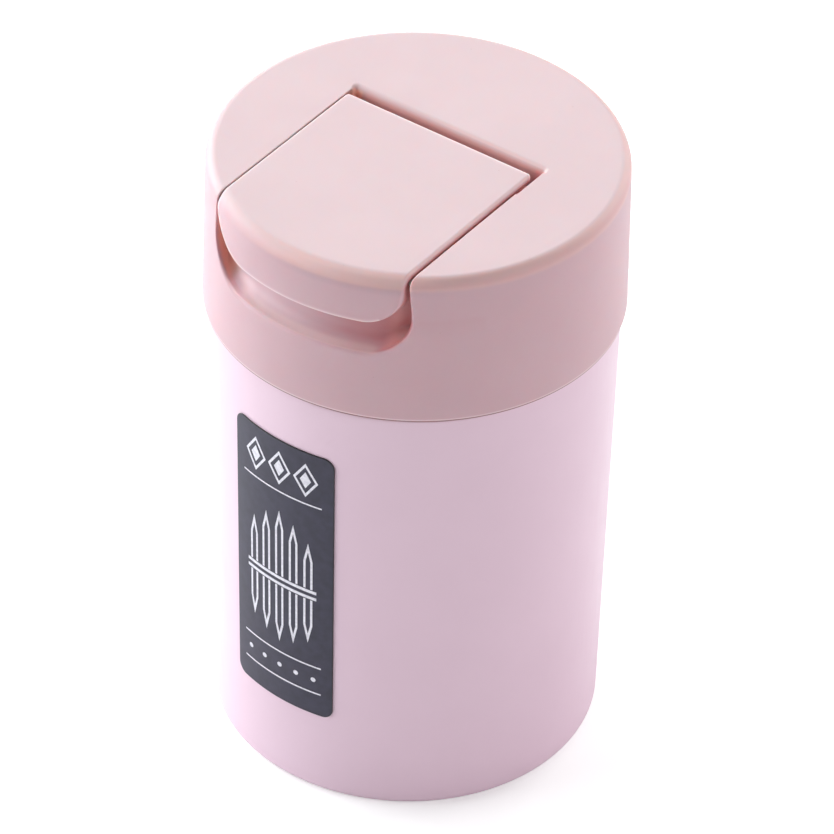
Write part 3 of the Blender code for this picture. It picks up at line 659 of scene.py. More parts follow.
def edge_depth(distance, radius, slope):
    """How far a rounded edge lies under the full surface, at a distance from the wall.

    The arc touches the wall and a surface that rises inwards with this slope: its centre is one radius in and
    radius * (sqrt(1 + slope^2) - slope) down, and the depth is the arc's height plus slope times distance.
    """
    stretch = np.sqrt(1.0 + slope**2)
    drop = radius * (stretch - slope) - half_chord(radius, np.minimum(distance, radius))
    touching = radius * (1.0 - slope / stretch)
    return np.where(distance < touching, np.maximum(drop + slope * distance, 0.0), 0.0)


# %% Flap surface
def flap_rows():
    """Each row's share of the way to the rim, its radius there (0 before it), its height, and its normal.

    The normal is given by its outward and its upward share.
    """
    ease = np.linspace(0.0, 1.0, FLAP_ROWS)
    over = np.linspace(0.0, math.pi / 2, 20)
    fall = np.sin(np.linspace(0.0, math.pi / 2, 60))[1:]
    z = RIM_Z - (RIM_Z - LIP_BOTTOM) * fall
    flat = np.stack((ease**2, ease * 0.0, ease * 0.0 + HEIGHT, ease * 0.0, ease * 0.0 + 1.0), axis=1)[:-1]
    rim = np.stack(
        (over * 0.0 + 1.0, RIM_START + FLAP_RIM_ROUND * np.sin(over), RIM_Z + FLAP_RIM_ROUND * np.cos(over),
         np.sin(over), np.cos(over)), axis=1)
    lip = np.stack((z * 0.0 + 1.0, lid_radius(z), z, z * 0.0 + 1.0, z * 0.0), axis=1)
    return np.vstack((flat, rim, lip))


def make_flap():
    """Outer points sink by the edge rounding, inner points by the wall, and a strip joins their borders."""
    share, radius, z, out, up = flap_rows().T[:, :, None]
    u = np.sin(np.linspace(-math.pi / 2, math.pi / 2, FLAP_COLUMNS))[None, :]
    side_half = FLAP_HALF + np.where(u < 0.0, LEFT_REACH, RIGHT_REACH)
    corner = np.where(u < 0.0, LEFT_CORNER, LIP_CORNER)
    half = side_half - corner + half_chord(corner, np.minimum(z - LIP_BOTTOM, corner))
    rear_run = np.minimum(share * (FLAP_REAR + RIM_START), REAR_CORNER)
    half = half - np.where(share < 1.0, REAR_CORNER - half_chord(REAR_CORNER, rear_run), 0.0)
    x = u * half
    front = -np.sqrt(np.maximum(RIM_START, radius) ** 2 - x**2)
    y = np.where(share < 1.0, FLAP_REAR + share * (-np.sqrt(RIM_START**2 - x**2) - FLAP_REAR), front)
    z = z + 0.0 * x

    tilt = np.where(share < 1.0, 0.0, x / np.maximum(radius, RIM_START) * out)
    across = np.maximum(side_half - np.abs(x), 0.0)
    rear_gap, rear_side = outline_distance(across, FLAP_REAR - y, REAR_CORNER)
    lip_gap, lip_side = outline_distance(across, z - LIP_BOTTOM, corner)
    at_rear = rear_gap < lip_gap
    gap = np.where(at_rear, rear_gap, lip_gap)
    side = np.where(at_rear, rear_side, lip_side)
    end_edge = np.where(at_rear, REAR_EDGE, LIP_EDGE)
    edge = end_edge + (np.where(u < 0.0, LEFT_EDGE, RIGHT_EDGE) - end_edge) * side**2
    lean = np.abs(tilt) * side
    sunk = edge_depth(gap, edge, lean / np.sqrt(np.maximum(1.0 - lean**2, 1e-6)))

    flat_y = np.where(share < 1.0, 0.0, -y / np.maximum(radius, RIM_START) * out)
    length = np.sqrt(flat_y**2 + up**2)
    outer = np.stack((x, y + sunk * flat_y / length, z - sunk * up / length), axis=-1)
    reach = np.where(share < 1.0, 0.0, radius - FLAP_WALL * out)
    x = x * (1.0 - FLAP_UNDERCUT * up / side_half)
    inner_y = np.where(share < 1.0, y, -np.sqrt(np.maximum(reach**2 - x**2, 0.0)))
    inner = np.stack((x, inner_y, z - FLAP_WALL * up), axis=-1)

    # shine marks the flap's edges, but not its right side, for a painted highlight in the lid's finish
    shine = np.exp(-((gap / SHINE_WIDTH) ** 2)) * np.where(side * (u > 0.0) > 0.5, 0.0, 1.0)
    return closed_sheet("flap", outer, inner, shine, 0.0)


flap = smooth(told(make_flap()), 40.0)
flap.data.materials.append(lid_finish)
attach(flap, "flap")
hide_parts("flap_cover")

# %% [markdown]
# ## Hinge barrel
# Under the flap's rear edge a barrel takes the pin. A rod with a hole cut through it would do, but its
# section is two circles, so the bore and the rod are spun as one closed line, with a small break on each
# end.

# %% Hinge barrel
PIN_LOW, PIN_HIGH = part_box("hinge_pin")
HINGE_Y = (PIN_LOW.y + PIN_HIGH.y) / 2
HINGE_Z = (PIN_LOW.z + PIN_HIGH.z) / 2
BARREL_RADIUS = 1.9 * MM
BORE_RADIUS = 1.1 * MM
BARREL_BREAK = 0.2 * MM
barrel_half = FLAP_HALF - 0.15 * MM


def laid_across(piece, y, z):
    """Turns a piece spun about Z so that it lies along X, at a y and a height, with its place in its mesh."""
    piece.data.transform(Matrix.Translation((0.0, y, z)) @ Matrix.Rotation(math.pi / 2, 4, "Y"))
    return piece


barrel = laid_across(spun(
    "flap_barrel",
    [(BORE_RADIUS, -barrel_half), (BORE_RADIUS, barrel_half)],
    [(BARREL_RADIUS - BARREL_BREAK, barrel_half), (BARREL_RADIUS, barrel_half - BARREL_BREAK)],
    [(BARREL_RADIUS, BARREL_BREAK - barrel_half), (BARREL_RADIUS - BARREL_BREAK, -barrel_half)],
    steps=64, closed=True,
), HINGE_Y, HINGE_Z)
smooth(told(barrel))
barrel.data.materials.append(lid_finish)
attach(barrel, "flap")
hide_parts("flap_cover")

# %% [markdown]
# ## Lid
# The lid is a turned cap with a well and a thumb recess cut into it. The cap is spun, and the cuts are made
# with solid tools, because their walls are straight. Real moulded edges are never sharp, and a Bevel easily
# fails where so many cut edges meet. So a thin rounding tool runs along the whole edge of the opening: an
# arc that touches the wall and the outer surface, carried along it.

# %% Lid sizes
POCKET_HALF = FLAP_HALF + SEAT_GAP
POCKET_REAR = 6.17 * MM
POCKET_CORNER = 0.5 * MM
LID_ROOF = 1.8 * MM
TUB_WALL = 1.4 * MM
DECK_THICK = 1.5 * MM
TUB_BOTTOM = NECK_TOP + SEAT_GAP + DECK_THICK + SEAT_GAP
CURB_OUTER = LID_TOP_RADIUS - 2.0 * MM
CURB_INNER = CURB_OUTER - 1.5 * MM
CURB_TOP = 82.4 * MM
RECESS_FLOOR = HEIGHT - RECESS_FALL * MM
RECESS_HALF = POCKET_HALF + 0.17 * MM
RECESS_WIDENING = 4.0 * MM
RECESS_CORNERS = {"right": 5.4 * MM, "left": 6.0 * MM}
RELIEF_HALVES = {"right": POCKET_HALF + 0.2 * MM, "left": POCKET_HALF + 0.02 * MM}
RELIEF_FRONT = POCKET_REAR - 6.0 * MM
RELIEF_END = 0.3 * MM
SKIRT_EDGE = 0.3 * MM
LID_REACH = LID_BOTTOM_RADIUS + MM
SOCKET_HALF = POCKET_HALF + 1.1 * MM


# %% Solid tools
def box_outline(half, low, high, corner=0.0):
    """A rectangle's outline with its last two corners round."""
    left = arc(-half + corner, high - corner, corner, 90, 180, 8)
    right = arc(half - corner, high - corner, corner, 0, 90, 8)
    return np.vstack(([(-half, low), (half, low)], right, left))


def prism(name, outline, low, high, axis="Z"):
    """An outline carried straight along Z, or along Y where its points are (x, z)."""
    count = len(outline)
    rings = []
    for place in (low, high):
        fixed = np.full((count, 1), place)
        rings.append(np.hstack((outline, fixed)) if axis == "Z" else np.insert(outline, 1, place, axis=1))
    ends = [list(range(count)), list(range(2 * count - 1, count - 1, -1))]
    return piece_from(name, np.array(rings), [*grid_faces(2, count, ring=True).tolist(), *ends])


def carve(target, *tools, how="DIFFERENCE"):
    """Cuts, joins or trims with solid tools, keeps the result as plain mesh and removes the tools."""
    for tool in tools:
        step = target.modifiers.new(tool.name, "BOOLEAN")
        step.operation = how
        step.solver = "EXACT"
        step.object = tool
    bpy.context.view_layer.update()
    graph = bpy.context.evaluated_depsgraph_get()
    result = bpy.data.meshes.new_from_object(target.evaluated_get(graph))
    target.modifiers.clear()
    target.data = result
    for tool in tools:
        bpy.data.objects.remove(tool, do_unlink=True)
    return target


# %% Lid edge path
TOP_EDGE = 1.05 * MM
SLIT_EDGE = 0.1 * MM
SIDE_WALL_EDGES = {"right": 0.4 * MM, "left": 0.1 * MM}
RECESS_EDGE = 0.45 * MM
EDGE_GROWTH = 5.0 * MM
RECESS_BACK = CURB_OUTER - 0.4 * MM
CORNER_FILL = 0.15 * MM
FLOOR_FILL = 1.9 * MM
FILL_SINK = 0.004 * MM
STRIP_PROUD = 0.35 * MM


def recess_bend(side_name):
    """A rounded corner of the recess: the angles of its turn, its x and z, and x on the floor after it."""
    corner = RECESS_CORNERS[side_name]
    bend = np.linspace(0.0, math.pi / 2, 17)
    x = RECESS_HALF - corner * (1.0 - np.cos(bend))
    z = RECESS_FLOOR + corner * (1.0 - np.sin(bend))
    return bend, x, z, np.linspace(RECESS_HALF - corner, 0.0, 12)[1:]


def top_edge(side_name):
    """The edge on the flat top, one half: from the middle of the rear, round the corner, along the slit.

    Like side_edge, it gives points, outward normals, wall normals and the rounding's radii.
    """
    relief_half = RELIEF_HALVES[side_name]
    corner = arc(relief_half - POCKET_CORNER, POCKET_REAR - POCKET_CORNER, POCKET_CORNER, 90, 0, 8)
    rear_x = np.linspace(0.0, relief_half - POCKET_CORNER, 6)[:-1]
    jog = [(relief_half, RELIEF_FRONT + RELIEF_END), (POCKET_HALF, RELIEF_FRONT)]
    front = -math.sqrt((LID_TOP_RADIUS - RIM_ROUND) ** 2 - POCKET_HALF**2)
    slit = np.linspace(RELIEF_FRONT, front, 8)[1:]
    rear = np.column_stack((rear_x, rear_x * 0.0 + POCKET_REAR))
    plan = np.vstack((rear, corner, jog, np.column_stack((slit * 0.0 + POCKET_HALF, slit))))
    points = np.column_stack((plan, np.full(len(plan), HEIGHT)))
    corner_turn = np.sin(np.linspace(0, math.pi / 2, len(corner)))
    wall_x = np.concatenate((rear_x * 0.0, corner_turn, np.ones(len(slit) + len(jog))))
    walls = np.column_stack((wall_x, np.sqrt(1.0 - wall_x**2), wall_x * 0.0))
    normals = np.tile((0.0, 0.0, 1.0), (len(points), 1))
    return points, normals, walls, SLIT_EDGE + (TOP_EDGE - SLIT_EDGE) * walls[:, 1]


def side_edge(side_name):
    """The edge over the rim, down the lid's side and round the recess's corner to the middle of its floor."""
    turn = np.linspace(0.0, math.pi / 2, 13)[1:]
    rim_z = HEIGHT - RIM_ROUND * (1.0 - np.cos(turn))
    rim_r = LID_TOP_RADIUS - RIM_ROUND * (1.0 - np.sin(turn))
    bend, bend_x, bend_z, floor_x = recess_bend(side_name)
    fall_z = np.linspace(rim_z[-1], bend_z[0], 14)[1:-1]
    ease = np.clip((rim_z[-1] - fall_z) / RECESS_WIDENING, 0.0, 1.0)
    fall_x = POCKET_HALF + (RECESS_HALF - POCKET_HALF) * ease
    x = np.concatenate((rim_z * 0.0 + POCKET_HALF, fall_x, bend_x, floor_x))
    z = np.concatenate((rim_z, fall_z, bend_z, floor_x * 0.0 + RECESS_FLOOR))
    r = np.concatenate((rim_r, lid_radius(z[len(turn):])))
    points = np.column_stack((x, -np.sqrt(r**2 - x**2), z))
    out = np.concatenate((np.sin(turn), np.ones(len(x) - len(turn))))
    normals = np.column_stack((x / r * out, points[:, 1] / r * out, np.sqrt(1.0 - out**2)))
    straight = np.zeros(len(rim_z) + len(fall_z))
    wall_x = np.concatenate((straight + 1.0, np.cos(bend), floor_x * 0.0))
    wall_z = np.concatenate((straight, -np.sin(bend), floor_x * 0.0 - 1.0))
    grow = np.clip((HEIGHT - z) / EDGE_GROWTH, 0.0, 1.0)
    wall_edge = SIDE_WALL_EDGES[side_name]
    radii = SLIT_EDGE + (wall_edge - SLIT_EDGE) * grow + (RECESS_EDGE - wall_edge) * wall_z**2
    return points, normals, np.column_stack((wall_x, x * 0.0, wall_z)), radii


def opening_edge(side_name):
    """The whole edge of the opening on the lid's outside, one half: the top's part, then the side's."""
    return tuple(np.concatenate(pair) for pair in zip(top_edge(side_name), side_edge(side_name)))


# %% Rounding tool
def edge_strip(name, points, normals, walls, radii, ring=False):
    """A solid strip between an edge and an arc that touches both of its faces, carried along the edge.

    One direction runs down the wall and one away over the surface, and w is the angle between them. The arc's
    centre lies radius / sin(w / 2) from the edge along their sum, and it touches both at radius / tan(w / 2).
    Taken away, the strip rounds an outer edge. Added, with both directions turned about, it fills an inner
    corner.
    """
    def unit(v):
        return v / np.linalg.norm(v, axis=1, keepdims=True)

    lean = np.sum(normals * walls, axis=1, keepdims=True)
    down = unit(lean * walls - normals)
    away = unit(walls - lean * normals)
    between = np.arccos(np.clip(np.sum(down * away, axis=1, keepdims=True), -1.0, 1.0))
    size = radii[:, None]
    reach = size / np.tan(between / 2)
    centre = points + unit(down + away) * size / np.sin(between / 2)
    first = points + reach * away - centre
    last = points + reach * down - centre
    sweep = math.pi - between
    section = [centre + (np.sin((1 - t) * sweep) * first + np.sin(t * sweep) * last) / np.sin(sweep)
               for t in np.linspace(0.0, 1.0, 9)]
    section += [points + reach * down - STRIP_PROUD * walls, points + STRIP_PROUD * (normals - walls)]
    section += [points + reach * away + STRIP_PROUD * normals]
    grid = np.stack(section, axis=1)
    rows, columns = grid.shape[:2]
    if ring:
        return piece_from(name, np.vstack((grid, grid[:1])), grid_faces(rows + 1, columns, ring=True))
    ends = [list(range(columns)), list(range((rows - 1) * columns, rows * columns))]
    return piece_from(name, grid, [*grid_faces(rows, columns, ring=True).tolist(), *ends])


# %% Recess corner and both halves
def recess_corner(side_name):
    """The inner corner between the recess's back and its sides and floor, one half, as for the outer edge.

    It is sunk a hair into the back, so that the strip and the lid share no face.
    """
    bend, bend_x, bend_z, floor_x = recess_bend(side_name)
    upper = np.linspace(max(LIP_BOTTOM, bend_z[0]) + 0.3 * MM, bend_z[0], 6)[:-1]
    x = np.concatenate((upper * 0.0 + RECESS_HALF, bend_x, floor_x))
    z = np.concatenate((upper, bend_z, floor_x * 0.0 + RECESS_FLOOR))
    turn = np.concatenate((upper * 0.0, bend, floor_x * 0.0 + math.pi / 2))
    fill_radius = RECESS_BACK - FILL_SINK
    y = -np.sqrt(fill_radius**2 - x**2)
    backs = -np.stack((x, y, x * 0.0), axis=1) / fill_radius
    walls = np.stack((-np.cos(turn), turn * 0.0, np.sin(turn)), axis=1)
    fill = CORNER_FILL + (FLOOR_FILL - CORNER_FILL) * np.sin(turn) ** 2
    return np.stack((x, y, z), axis=1), backs, walls, fill


def both_sides(half_path):
    """Carries a right half, which ends in the middle plane, on along the mirrored left half in reverse."""
    right, left = half_path("right"), half_path("left")
    mirror = np.array((-1.0, 1.0, 1.0))
    order = slice(-2, 0 if abs(left[0][0, 0]) < 1e-9 else None, -1)
    whole = [np.concatenate((part, other[order] * mirror)) for part, other in zip(right[:3], left[:3])]
    return (*whole, np.concatenate((right[3], left[3][order])))


# %% Cap and tub
def make_cap():
    """The turned cap: top, rounded rim, skirt and its lower edge, then the inner wall and the roof inside."""
    roof = HEIGHT - LID_ROOF
    skirt = lid_radius(LID_BOTTOM + SKIRT_EDGE) - SKIRT_EDGE
    heights = np.linspace(HEIGHT - RIM_ROUND, LID_BOTTOM + SKIRT_EDGE, 16)[1:-1]
    return spun(
        "lid",
        [(0.0, HEIGHT)],
        arc(LID_TOP_RADIUS - RIM_ROUND, HEIGHT - RIM_ROUND, RIM_ROUND, 90, 0, 12),
        np.column_stack((lid_radius(heights), heights)),
        arc(skirt, LID_BOTTOM + SKIRT_EDGE, SKIRT_EDGE, 0, -90, 5),
        [(LID_INNER_RADIUS, LID_BOTTOM)],
        arc(LID_INNER_RADIUS - RIM_ROUND, roof - RIM_ROUND, RIM_ROUND, 0, 90, 6),
        [(0.0, roof)],
    )


def make_tub():
    """The block under the cap's roof that the well is cut into, trimmed to end inside the skirt's wall."""
    top = HEIGHT - LID_ROOF + LID_ROOF / 3
    outline = box_outline(RECESS_HALF + TUB_WALL, -LID_REACH, POCKET_REAR + TUB_WALL)
    tub = prism("tub", outline, TUB_BOTTOM, top)
    trim = (LID_INNER_RADIUS + LID_TOP_RADIUS) / 2
    return carve(tub, cylinder("tub_trim", trim, TUB_BOTTOM - MM, top + MM), how="INTERSECT")


# %% Cuts in the lid
ABOVE_LID = HEIGHT + MM


def make_well():
    """The well behind the curb, with upright walls, open at the bottom."""
    outline = box_outline(POCKET_HALF, -LID_REACH, POCKET_REAR, POCKET_CORNER)
    well = prism("well", outline, TUB_BOTTOM - MM, ABOVE_LID)
    front = cylinder("well_front", CURB_INNER, TUB_BOTTOM - 2 * MM, ABOVE_LID + MM)
    return carve(well, front, how="INTERSECT")


def make_recess():
    """The thumb recess: a flat front view with two round corners, less the round block behind it."""
    high = HEIGHT - RIM_ROUND
    sides = [np.vstack((
        [(POCKET_HALF, high), (RECESS_HALF, high - RECESS_WIDENING)],
        arc(RECESS_HALF - corner, RECESS_FLOOR + corner, corner, 0, -90, 16),
    )) for corner in (RECESS_CORNERS["right"], RECESS_CORNERS["left"])]
    outline = np.vstack((sides[0], sides[1][::-1] * (-1.0, 1.0)))
    recess = prism("recess", outline, -LID_REACH, -CURB_INNER / 2, "Y")
    return carve(recess, cylinder("recess_back", RECESS_BACK, RECESS_FLOOR - MM, ABOVE_LID))


def make_relief():
    """The well's wider rear part beside the hinge, which is deeper on the right than on the left."""
    right, left = RELIEF_HALVES["right"], RELIEF_HALVES["left"]
    outline = box_outline((right + left) / 2, RELIEF_FRONT, POCKET_REAR, POCKET_CORNER)
    return prism("relief", outline + ((right - left) / 2, 0.0), HINGE_Z - 2 * BARREL_RADIUS, ABOVE_LID)


# %% Lid
def make_lid():
    """The cap and its tub, less the well, the flap's way, the recess, the relief and the pin's sockets."""
    lid = make_cap()
    carve(lid, make_tub(), how="UNION")
    well = make_well()
    way = prism("way", box_outline(POCKET_HALF, -LID_REACH, 0.0), CURB_TOP, ABOVE_LID)
    recess, relief = make_recess(), make_relief()
    socket = cylinder("socket", BORE_RADIUS, -SOCKET_HALF, SOCKET_HALF, steps=32)
    carve(lid, well, way, recess, relief, laid_across(socket, HINGE_Y, HINGE_Z))
    carve(lid, edge_strip("edge_tool", *both_sides(opening_edge), ring=True))
    return carve(lid, edge_strip("recess_fillet", *both_sides(recess_corner)), how="UNION")


lid = smooth(told(make_lid()))
lid.data.materials.clear()
lid.data.materials.append(lid_finish)
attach(lid, "lid")
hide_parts("lid_shell")

# %% [markdown]
# ## Sticker
# The sticker is a sheet of film bent round the cup. A plane with a Shrinkwrap would follow the cup but lose
# its true width. Here its outline is a rectangle with round corners, each row is as wide as the outline
# there, and the arc length across becomes an angle round the cup's axis.

# %% Sticker
LABEL_HALF = 7.94 * MM
LABEL_SHIFT = -1.67 * MM
LABEL_TOP = HEIGHT - 29.85 * MM
LABEL_LENGTH = 42.9 * MM
LABEL_CORNER = 1.5 * MM
LABEL_UNDER = 0.06 * MM
LABEL_THICK = 0.15 * MM
LABEL_EDGE = 0.05 * MM
LABEL_CUT = 0.12 * MM


def on_cup(across, z, above):
    """Points round the cup: the arc length across, from the sticker's middle, becomes an angle."""
    radius = body_radius(z) + above
    angle = (across + LABEL_SHIFT) / body_radius(LABEL_TOP - LABEL_LENGTH / 2)
    return np.stack((radius * np.sin(angle), -radius * np.cos(angle), z + 0.0 * angle), axis=-1)


def make_label():
    """Rows spaced as a cosine, so that they are dense at the round corners."""
    down = (0.5 - 0.5 * np.cos(np.linspace(0.0, math.pi, 161)))[:, None] * LABEL_LENGTH
    end = np.minimum(np.minimum(down, LABEL_LENGTH - down), LABEL_CORNER)
    half = LABEL_HALF - LABEL_CORNER + half_chord(LABEL_CORNER, end)
    across = np.sin(np.linspace(-math.pi / 2, math.pi / 2, 101))[None, :] * half
    z = LABEL_TOP - down + 0.0 * across
    from_end = np.minimum(down, LABEL_LENGTH - down) + 0.0 * across
    gap, _ = outline_distance(LABEL_HALF - np.abs(across), from_end, LABEL_CORNER)
    outer = on_cup(across, z, LABEL_UNDER + LABEL_THICK - edge_depth(gap, LABEL_EDGE, 0.0 * gap))
    inner = on_cup(across, z, LABEL_UNDER + 0.0 * across)
    return closed_sheet("label", outer, inner, np.exp(-((gap / LABEL_CUT) ** 2)), 1.0)


label = smooth(told(make_label()), 40.0)
label.data.materials.append(film_finish)
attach(label, "cup")
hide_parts("front_label")

# %% [markdown]
# ## Print on the sticker
# Screen-printed ink stands a few hundredths of a millimetre proud. An image could carry it but would blur
# from near. The design is a plain ornament: lozenges, a bundle of picks under a band, and a row of dots
# between rules. Each line is a flat ribbon of constant width along a path, with its corners mitred, and each
# filled shape is a ribbon that reaches to its own middle.

# %% Ribbons of ink
INK_THICK = 0.02 * MM
INK_LINE = 0.32 * MM
INK_STEP = 0.4 * MM
PICK_BAND = -1.5 * MM
PICK_ENDS = {-4.4: (7.6, -7.4), -2.2: (9.6, -8.6), 0.0: (10.8, -9.4), 2.2: (9.6, -8.6), 4.4: (7.6, -7.4)}


def finely(path, closed):
    """The path with points added, so that its steps are short enough to follow the cup's curve."""
    path = np.asarray(path, dtype=float)
    ends = np.vstack((path, path[:1])) if closed else path
    parts = []
    for first, last in zip(ends[:-1], ends[1:]):
        count = max(1, int(np.ceil(np.linalg.norm(last - first) / INK_STEP)))
        parts.append(first + np.linspace(0.0, 1.0, count, endpoint=False)[:, None] * (last - first))
    return np.vstack(parts + ([] if closed else [path[-1:]]))


def offset(path, closed, width):
    """Points beside a path: a corner moves along the middle of its two normals, by width / cos(half turn)."""
    ahead = (np.roll(path, -1, axis=0) if closed else np.vstack((path[1:], 2 * path[-1] - path[-2]))) - path
    ahead = ahead / np.linalg.norm(ahead, axis=1, keepdims=True)
    behind = np.roll(ahead, 1, axis=0) if closed else np.vstack((ahead[:1], ahead[:-1]))
    along = (ahead + behind) / np.linalg.norm(ahead + behind, axis=1, keepdims=True)
    cosine = np.sum(along * ahead, axis=1, keepdims=True)
    return path + np.stack((-along[:, 1], along[:, 0]), axis=1) * width / cosine


def ribbon(outer, inner, closed):
    """A flat closed strip between two borders, with four corners at each point."""
    low = LABEL_UNDER + LABEL_THICK
    middle_z = LABEL_TOP - LABEL_LENGTH / 2
    corners = [(outer, low), (outer, low + INK_THICK), (inner, low + INK_THICK), (inner, low)]
    points = np.stack([on_cup(side[:, 0], middle_z + side[:, 1], above) for side, above in corners], axis=1)
    if closed:
        points = np.vstack((points, points[:1]))
    rows = len(points)
    faces = grid_faces(rows, 4, ring=True)
    caps = [] if closed else [[0, 1, 2, 3], list(range(4 * rows - 4, 4 * rows))]
    return points.reshape(-1, 3), np.vstack((faces, *caps))


def line(path, width=INK_LINE, closed=False):
    """A ribbon of constant width: the path moved by half the width to each side."""
    path = finely(path, closed)
    return ribbon(offset(path, closed, width / 2), offset(path, closed, -width / 2), closed)


def filled(path):
    """A ribbon from a closed path to its own middle, the mean of its points."""
    path = finely(path, True)
    return ribbon(path, np.tile(path.mean(axis=0), (len(path), 1)), True)


# %% Ornament
def lozenge(x, y, half_width, half_height):
    """Four corners, half a width to each side of the middle and half a height above and below it."""
    corners = ((-half_width, 0.0), (0.0, half_height), (half_width, 0.0), (0.0, -half_height))
    return (np.array(corners) + (x, y)) * MM


def pick(x, top, foot):
    """One pick as two outlines, above and below the band, open where they meet it."""
    half, sides = 0.5, []
    for start, shoulder, tip in ((0.9, top - 2.2, top), (-0.9, foot + 2.2, foot)):
        path = ((-half, start), (-half, shoulder), (0.0, tip), (half, shoulder), (half, start))
        sides.append(line((np.array(path) + (x, 0.0)) * MM + (0.0, PICK_BAND)))
    return sides


def rule(y, half_width, width):
    """A level line across the sticker."""
    return line(np.array([(-half_width, y), (half_width, y)]) * MM, width * MM)


def make_ink():
    """All lines and fills as one mesh; each part's point numbers are counted on from the part before."""
    dot = arc(0.0, 0.0, 0.36 * MM, 0, 340, 17)
    parts = [filled(lozenge(x, 17.0, 0.8, 1.3)) for x in (-4.0, 0.0, 4.0)]
    parts += [line(lozenge(x, 17.0, 1.6, 2.4), closed=True) for x in (-4.0, 0.0, 4.0)]
    parts += [rule(y, 6.3, 0.22) for y in (13.2, -13.4, -17.8)]
    for x, (top, foot) in PICK_ENDS.items():
        parts += pick(x, top, foot)
    parts += [rule(PICK_BAND / MM + y, 5.6, 0.45) for y in (-0.5, 0.5)]
    parts += [filled(dot + np.array((x, -15.6)) * MM) for x in (-5.2, -2.6, 0.0, 2.6, 5.2)]
    count, points, faces = 0, [], []
    for part_points, part_faces in parts:
        points.append(part_points)
        faces.append(part_faces + count)
        count += len(part_points)
    return piece_from("label_ink", np.vstack(points), np.vstack(faces))


ink = told(make_ink())
ink.data.materials.append(ink_finish)
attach(ink, "cup")
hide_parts("front_label")

# %% [markdown]
# ## Parts inside
# The deck, the sleeve, the cradle and the liner only show when the flap is up or the lid is off. Their
# working solids already have the right form, so a welded copy gets smooth shading and a fine break on each
# edge.

# %% Parts inside
INNER_BREAK = 0.12 * MM


def softened(node, width):
    """A copy of a working solid with its doubled points merged and its sharp edges slightly broken."""
    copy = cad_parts[node].data.copy()
    copy.name = node + "_fine"
    copy.materials.clear()
    piece = add_piece(node + "_fine", welded(copy, 1e-6))
    ease = piece.modifiers.new("edge_break", "BEVEL")
    ease.width = width
    ease.segments = 2
    ease.limit_method = "ANGLE"
    ease.angle_limit = math.radians(50)
    ease.harden_normals = False
    return smooth(told(piece), 40.0)


MOULDED = {"lid_deck": "lid", "pick_sleeve": "lid", "lift_cradle": "cradle", "flap_liner": "flap"}
DRAWN = dict.fromkeys(("hinge_pin", "deck_screw_1", "deck_screw_2", "deck_screw_3", "deck_screw_4"), "lid")
for nodes, slot, finish, width in (
    (MOULDED, "inner_plastic", inner_finish, INNER_BREAK), (DRAWN, "steel", steel_finish, INNER_BREAK / 2),
):
    for node, body in nodes.items():
        piece = softened(node, width)
        piece.data.materials.append(finish)
        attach(piece, body)
        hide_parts(node)

# %% [markdown]
# ## Floor and light
# A plain white table under five soft boxes. Two on the left are the strongest, so the cup's left side runs
# to white; their tubes are a little cooler. Two on the right lift the other edge, and one behind, at the
# mirror angle of the top, gives it a sheen. The floor keeps the holder's shadow, and a glow that only the
# camera sees lifts it to paper white.

# %% Floor
FLOOR_HALF = 4.0
FLOOR_GLOW = 0.36


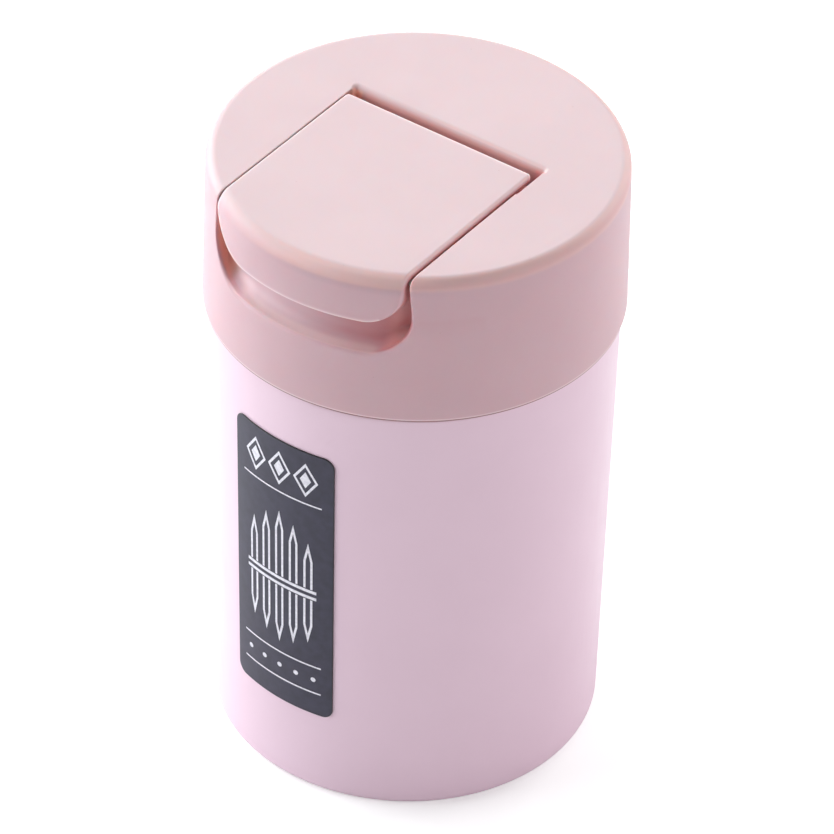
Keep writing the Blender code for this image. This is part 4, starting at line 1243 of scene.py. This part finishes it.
def make_floor():
    """A square of paper that also glows a little for the camera."""
    mesh = bpy.data.meshes.new("floor")
    corners = [(FLOOR_HALF * x, FLOOR_HALF * y, 0.0) for x, y in ((-1, -1), (1, -1), (1, 1), (-1, 1))]
    mesh.from_pydata(corners, [], [(0, 1, 2, 3)])
    floor = add_piece("floor", mesh)
    paper, shader = new_finish("matte_white_paper", "EFEFEF", 0.9)
    seen = add_node(paper, "ShaderNodeLightPath").outputs["Is Camera Ray"]
    glow = add_node(paper, "ShaderNodeMath", {"operation": "MULTIPLY"}, _0=seen, _1=FLOOR_GLOW)
    light = add_node(paper, "ShaderNodeEmission", Color=(1.0, 1.0, 1.0, 1.0), Strength=glow.outputs[0])
    both = add_node(paper, "ShaderNodeAddShader", _0=shader.outputs[0], _1=light.outputs[0])
    link(paper, both.outputs[0], paper.node_tree.nodes["Material Output"].inputs["Surface"])
    mesh.materials.append(paper)
    return floor


floor = make_floor()

# %% Soft boxes
BOX_DISTANCE = 1.1
WORLD_LIGHT = 0.03
COOL = (0.94, 1.0, 1.0)
NEUTRAL = (1.0, 1.0, 1.0)
SOFT_BOXES = {
    "left_box": (-90, 22, 0.8, 0.8, 9.6, COOL),
    "left_rear_box": (-130, 25, 0.8, 0.8, 12.9, COOL),
    "right_front_box": (45, 30, 0.8, 0.8, 5.3, NEUTRAL),
    "right_rear_box": (130, 25, 0.8, 0.8, 7.7, NEUTRAL),
    "rear_box": (180, 42, 1.0, 0.6, 4.2, NEUTRAL),
}


def soft_box(name, turn, rise, width, height, power, colour):
    """A rectangular lamp; its turn counts from the camera to the picture's right, its rise from the floor."""
    turn, rise = math.radians(turn), math.radians(rise)
    front = Vector((back.x, back.y, 0.0)).normalized()
    way = (front * math.cos(turn) + level * math.sin(turn)) * math.cos(rise) + Vector((0, 0, math.sin(rise)))
    data = bpy.data.lights.new(name, "AREA")
    data.shape = "RECTANGLE"
    data.size = width
    data.size_y = height
    data.energy = power
    data.color = colour
    lamp = bpy.data.objects.new(name, data)
    lamp.location = target + way * BOX_DISTANCE
    lamp.rotation_euler = (-way).to_track_quat("-Z", "Y").to_euler()
    lamp.visible_camera = False
    bpy.context.scene.collection.objects.link(lamp)


for name, settings in SOFT_BOXES.items():
    soft_box(name, *settings)


# %% World
def make_world():
    """White for the camera and almost dark for everything else, so that the soft boxes do the lighting."""
    world = bpy.data.worlds.new("studio")
    world.use_nodes = True
    glow = world.node_tree.nodes["Background"]
    glow.inputs["Color"].default_value = (1.0, 1.0, 1.0, 1.0)
    seen = add_node(world, "ShaderNodeLightPath").outputs["Is Camera Ray"]
    share = add_node(world, "ShaderNodeMapRange", Value=seen, To_Min=WORLD_LIGHT, To_Max=1.0)
    world.node_tree.links.new(share.outputs["Result"], glow.inputs["Strength"])
    return world


bpy.context.scene.world = make_world()
print("lamps:", len(bpy.data.lights))
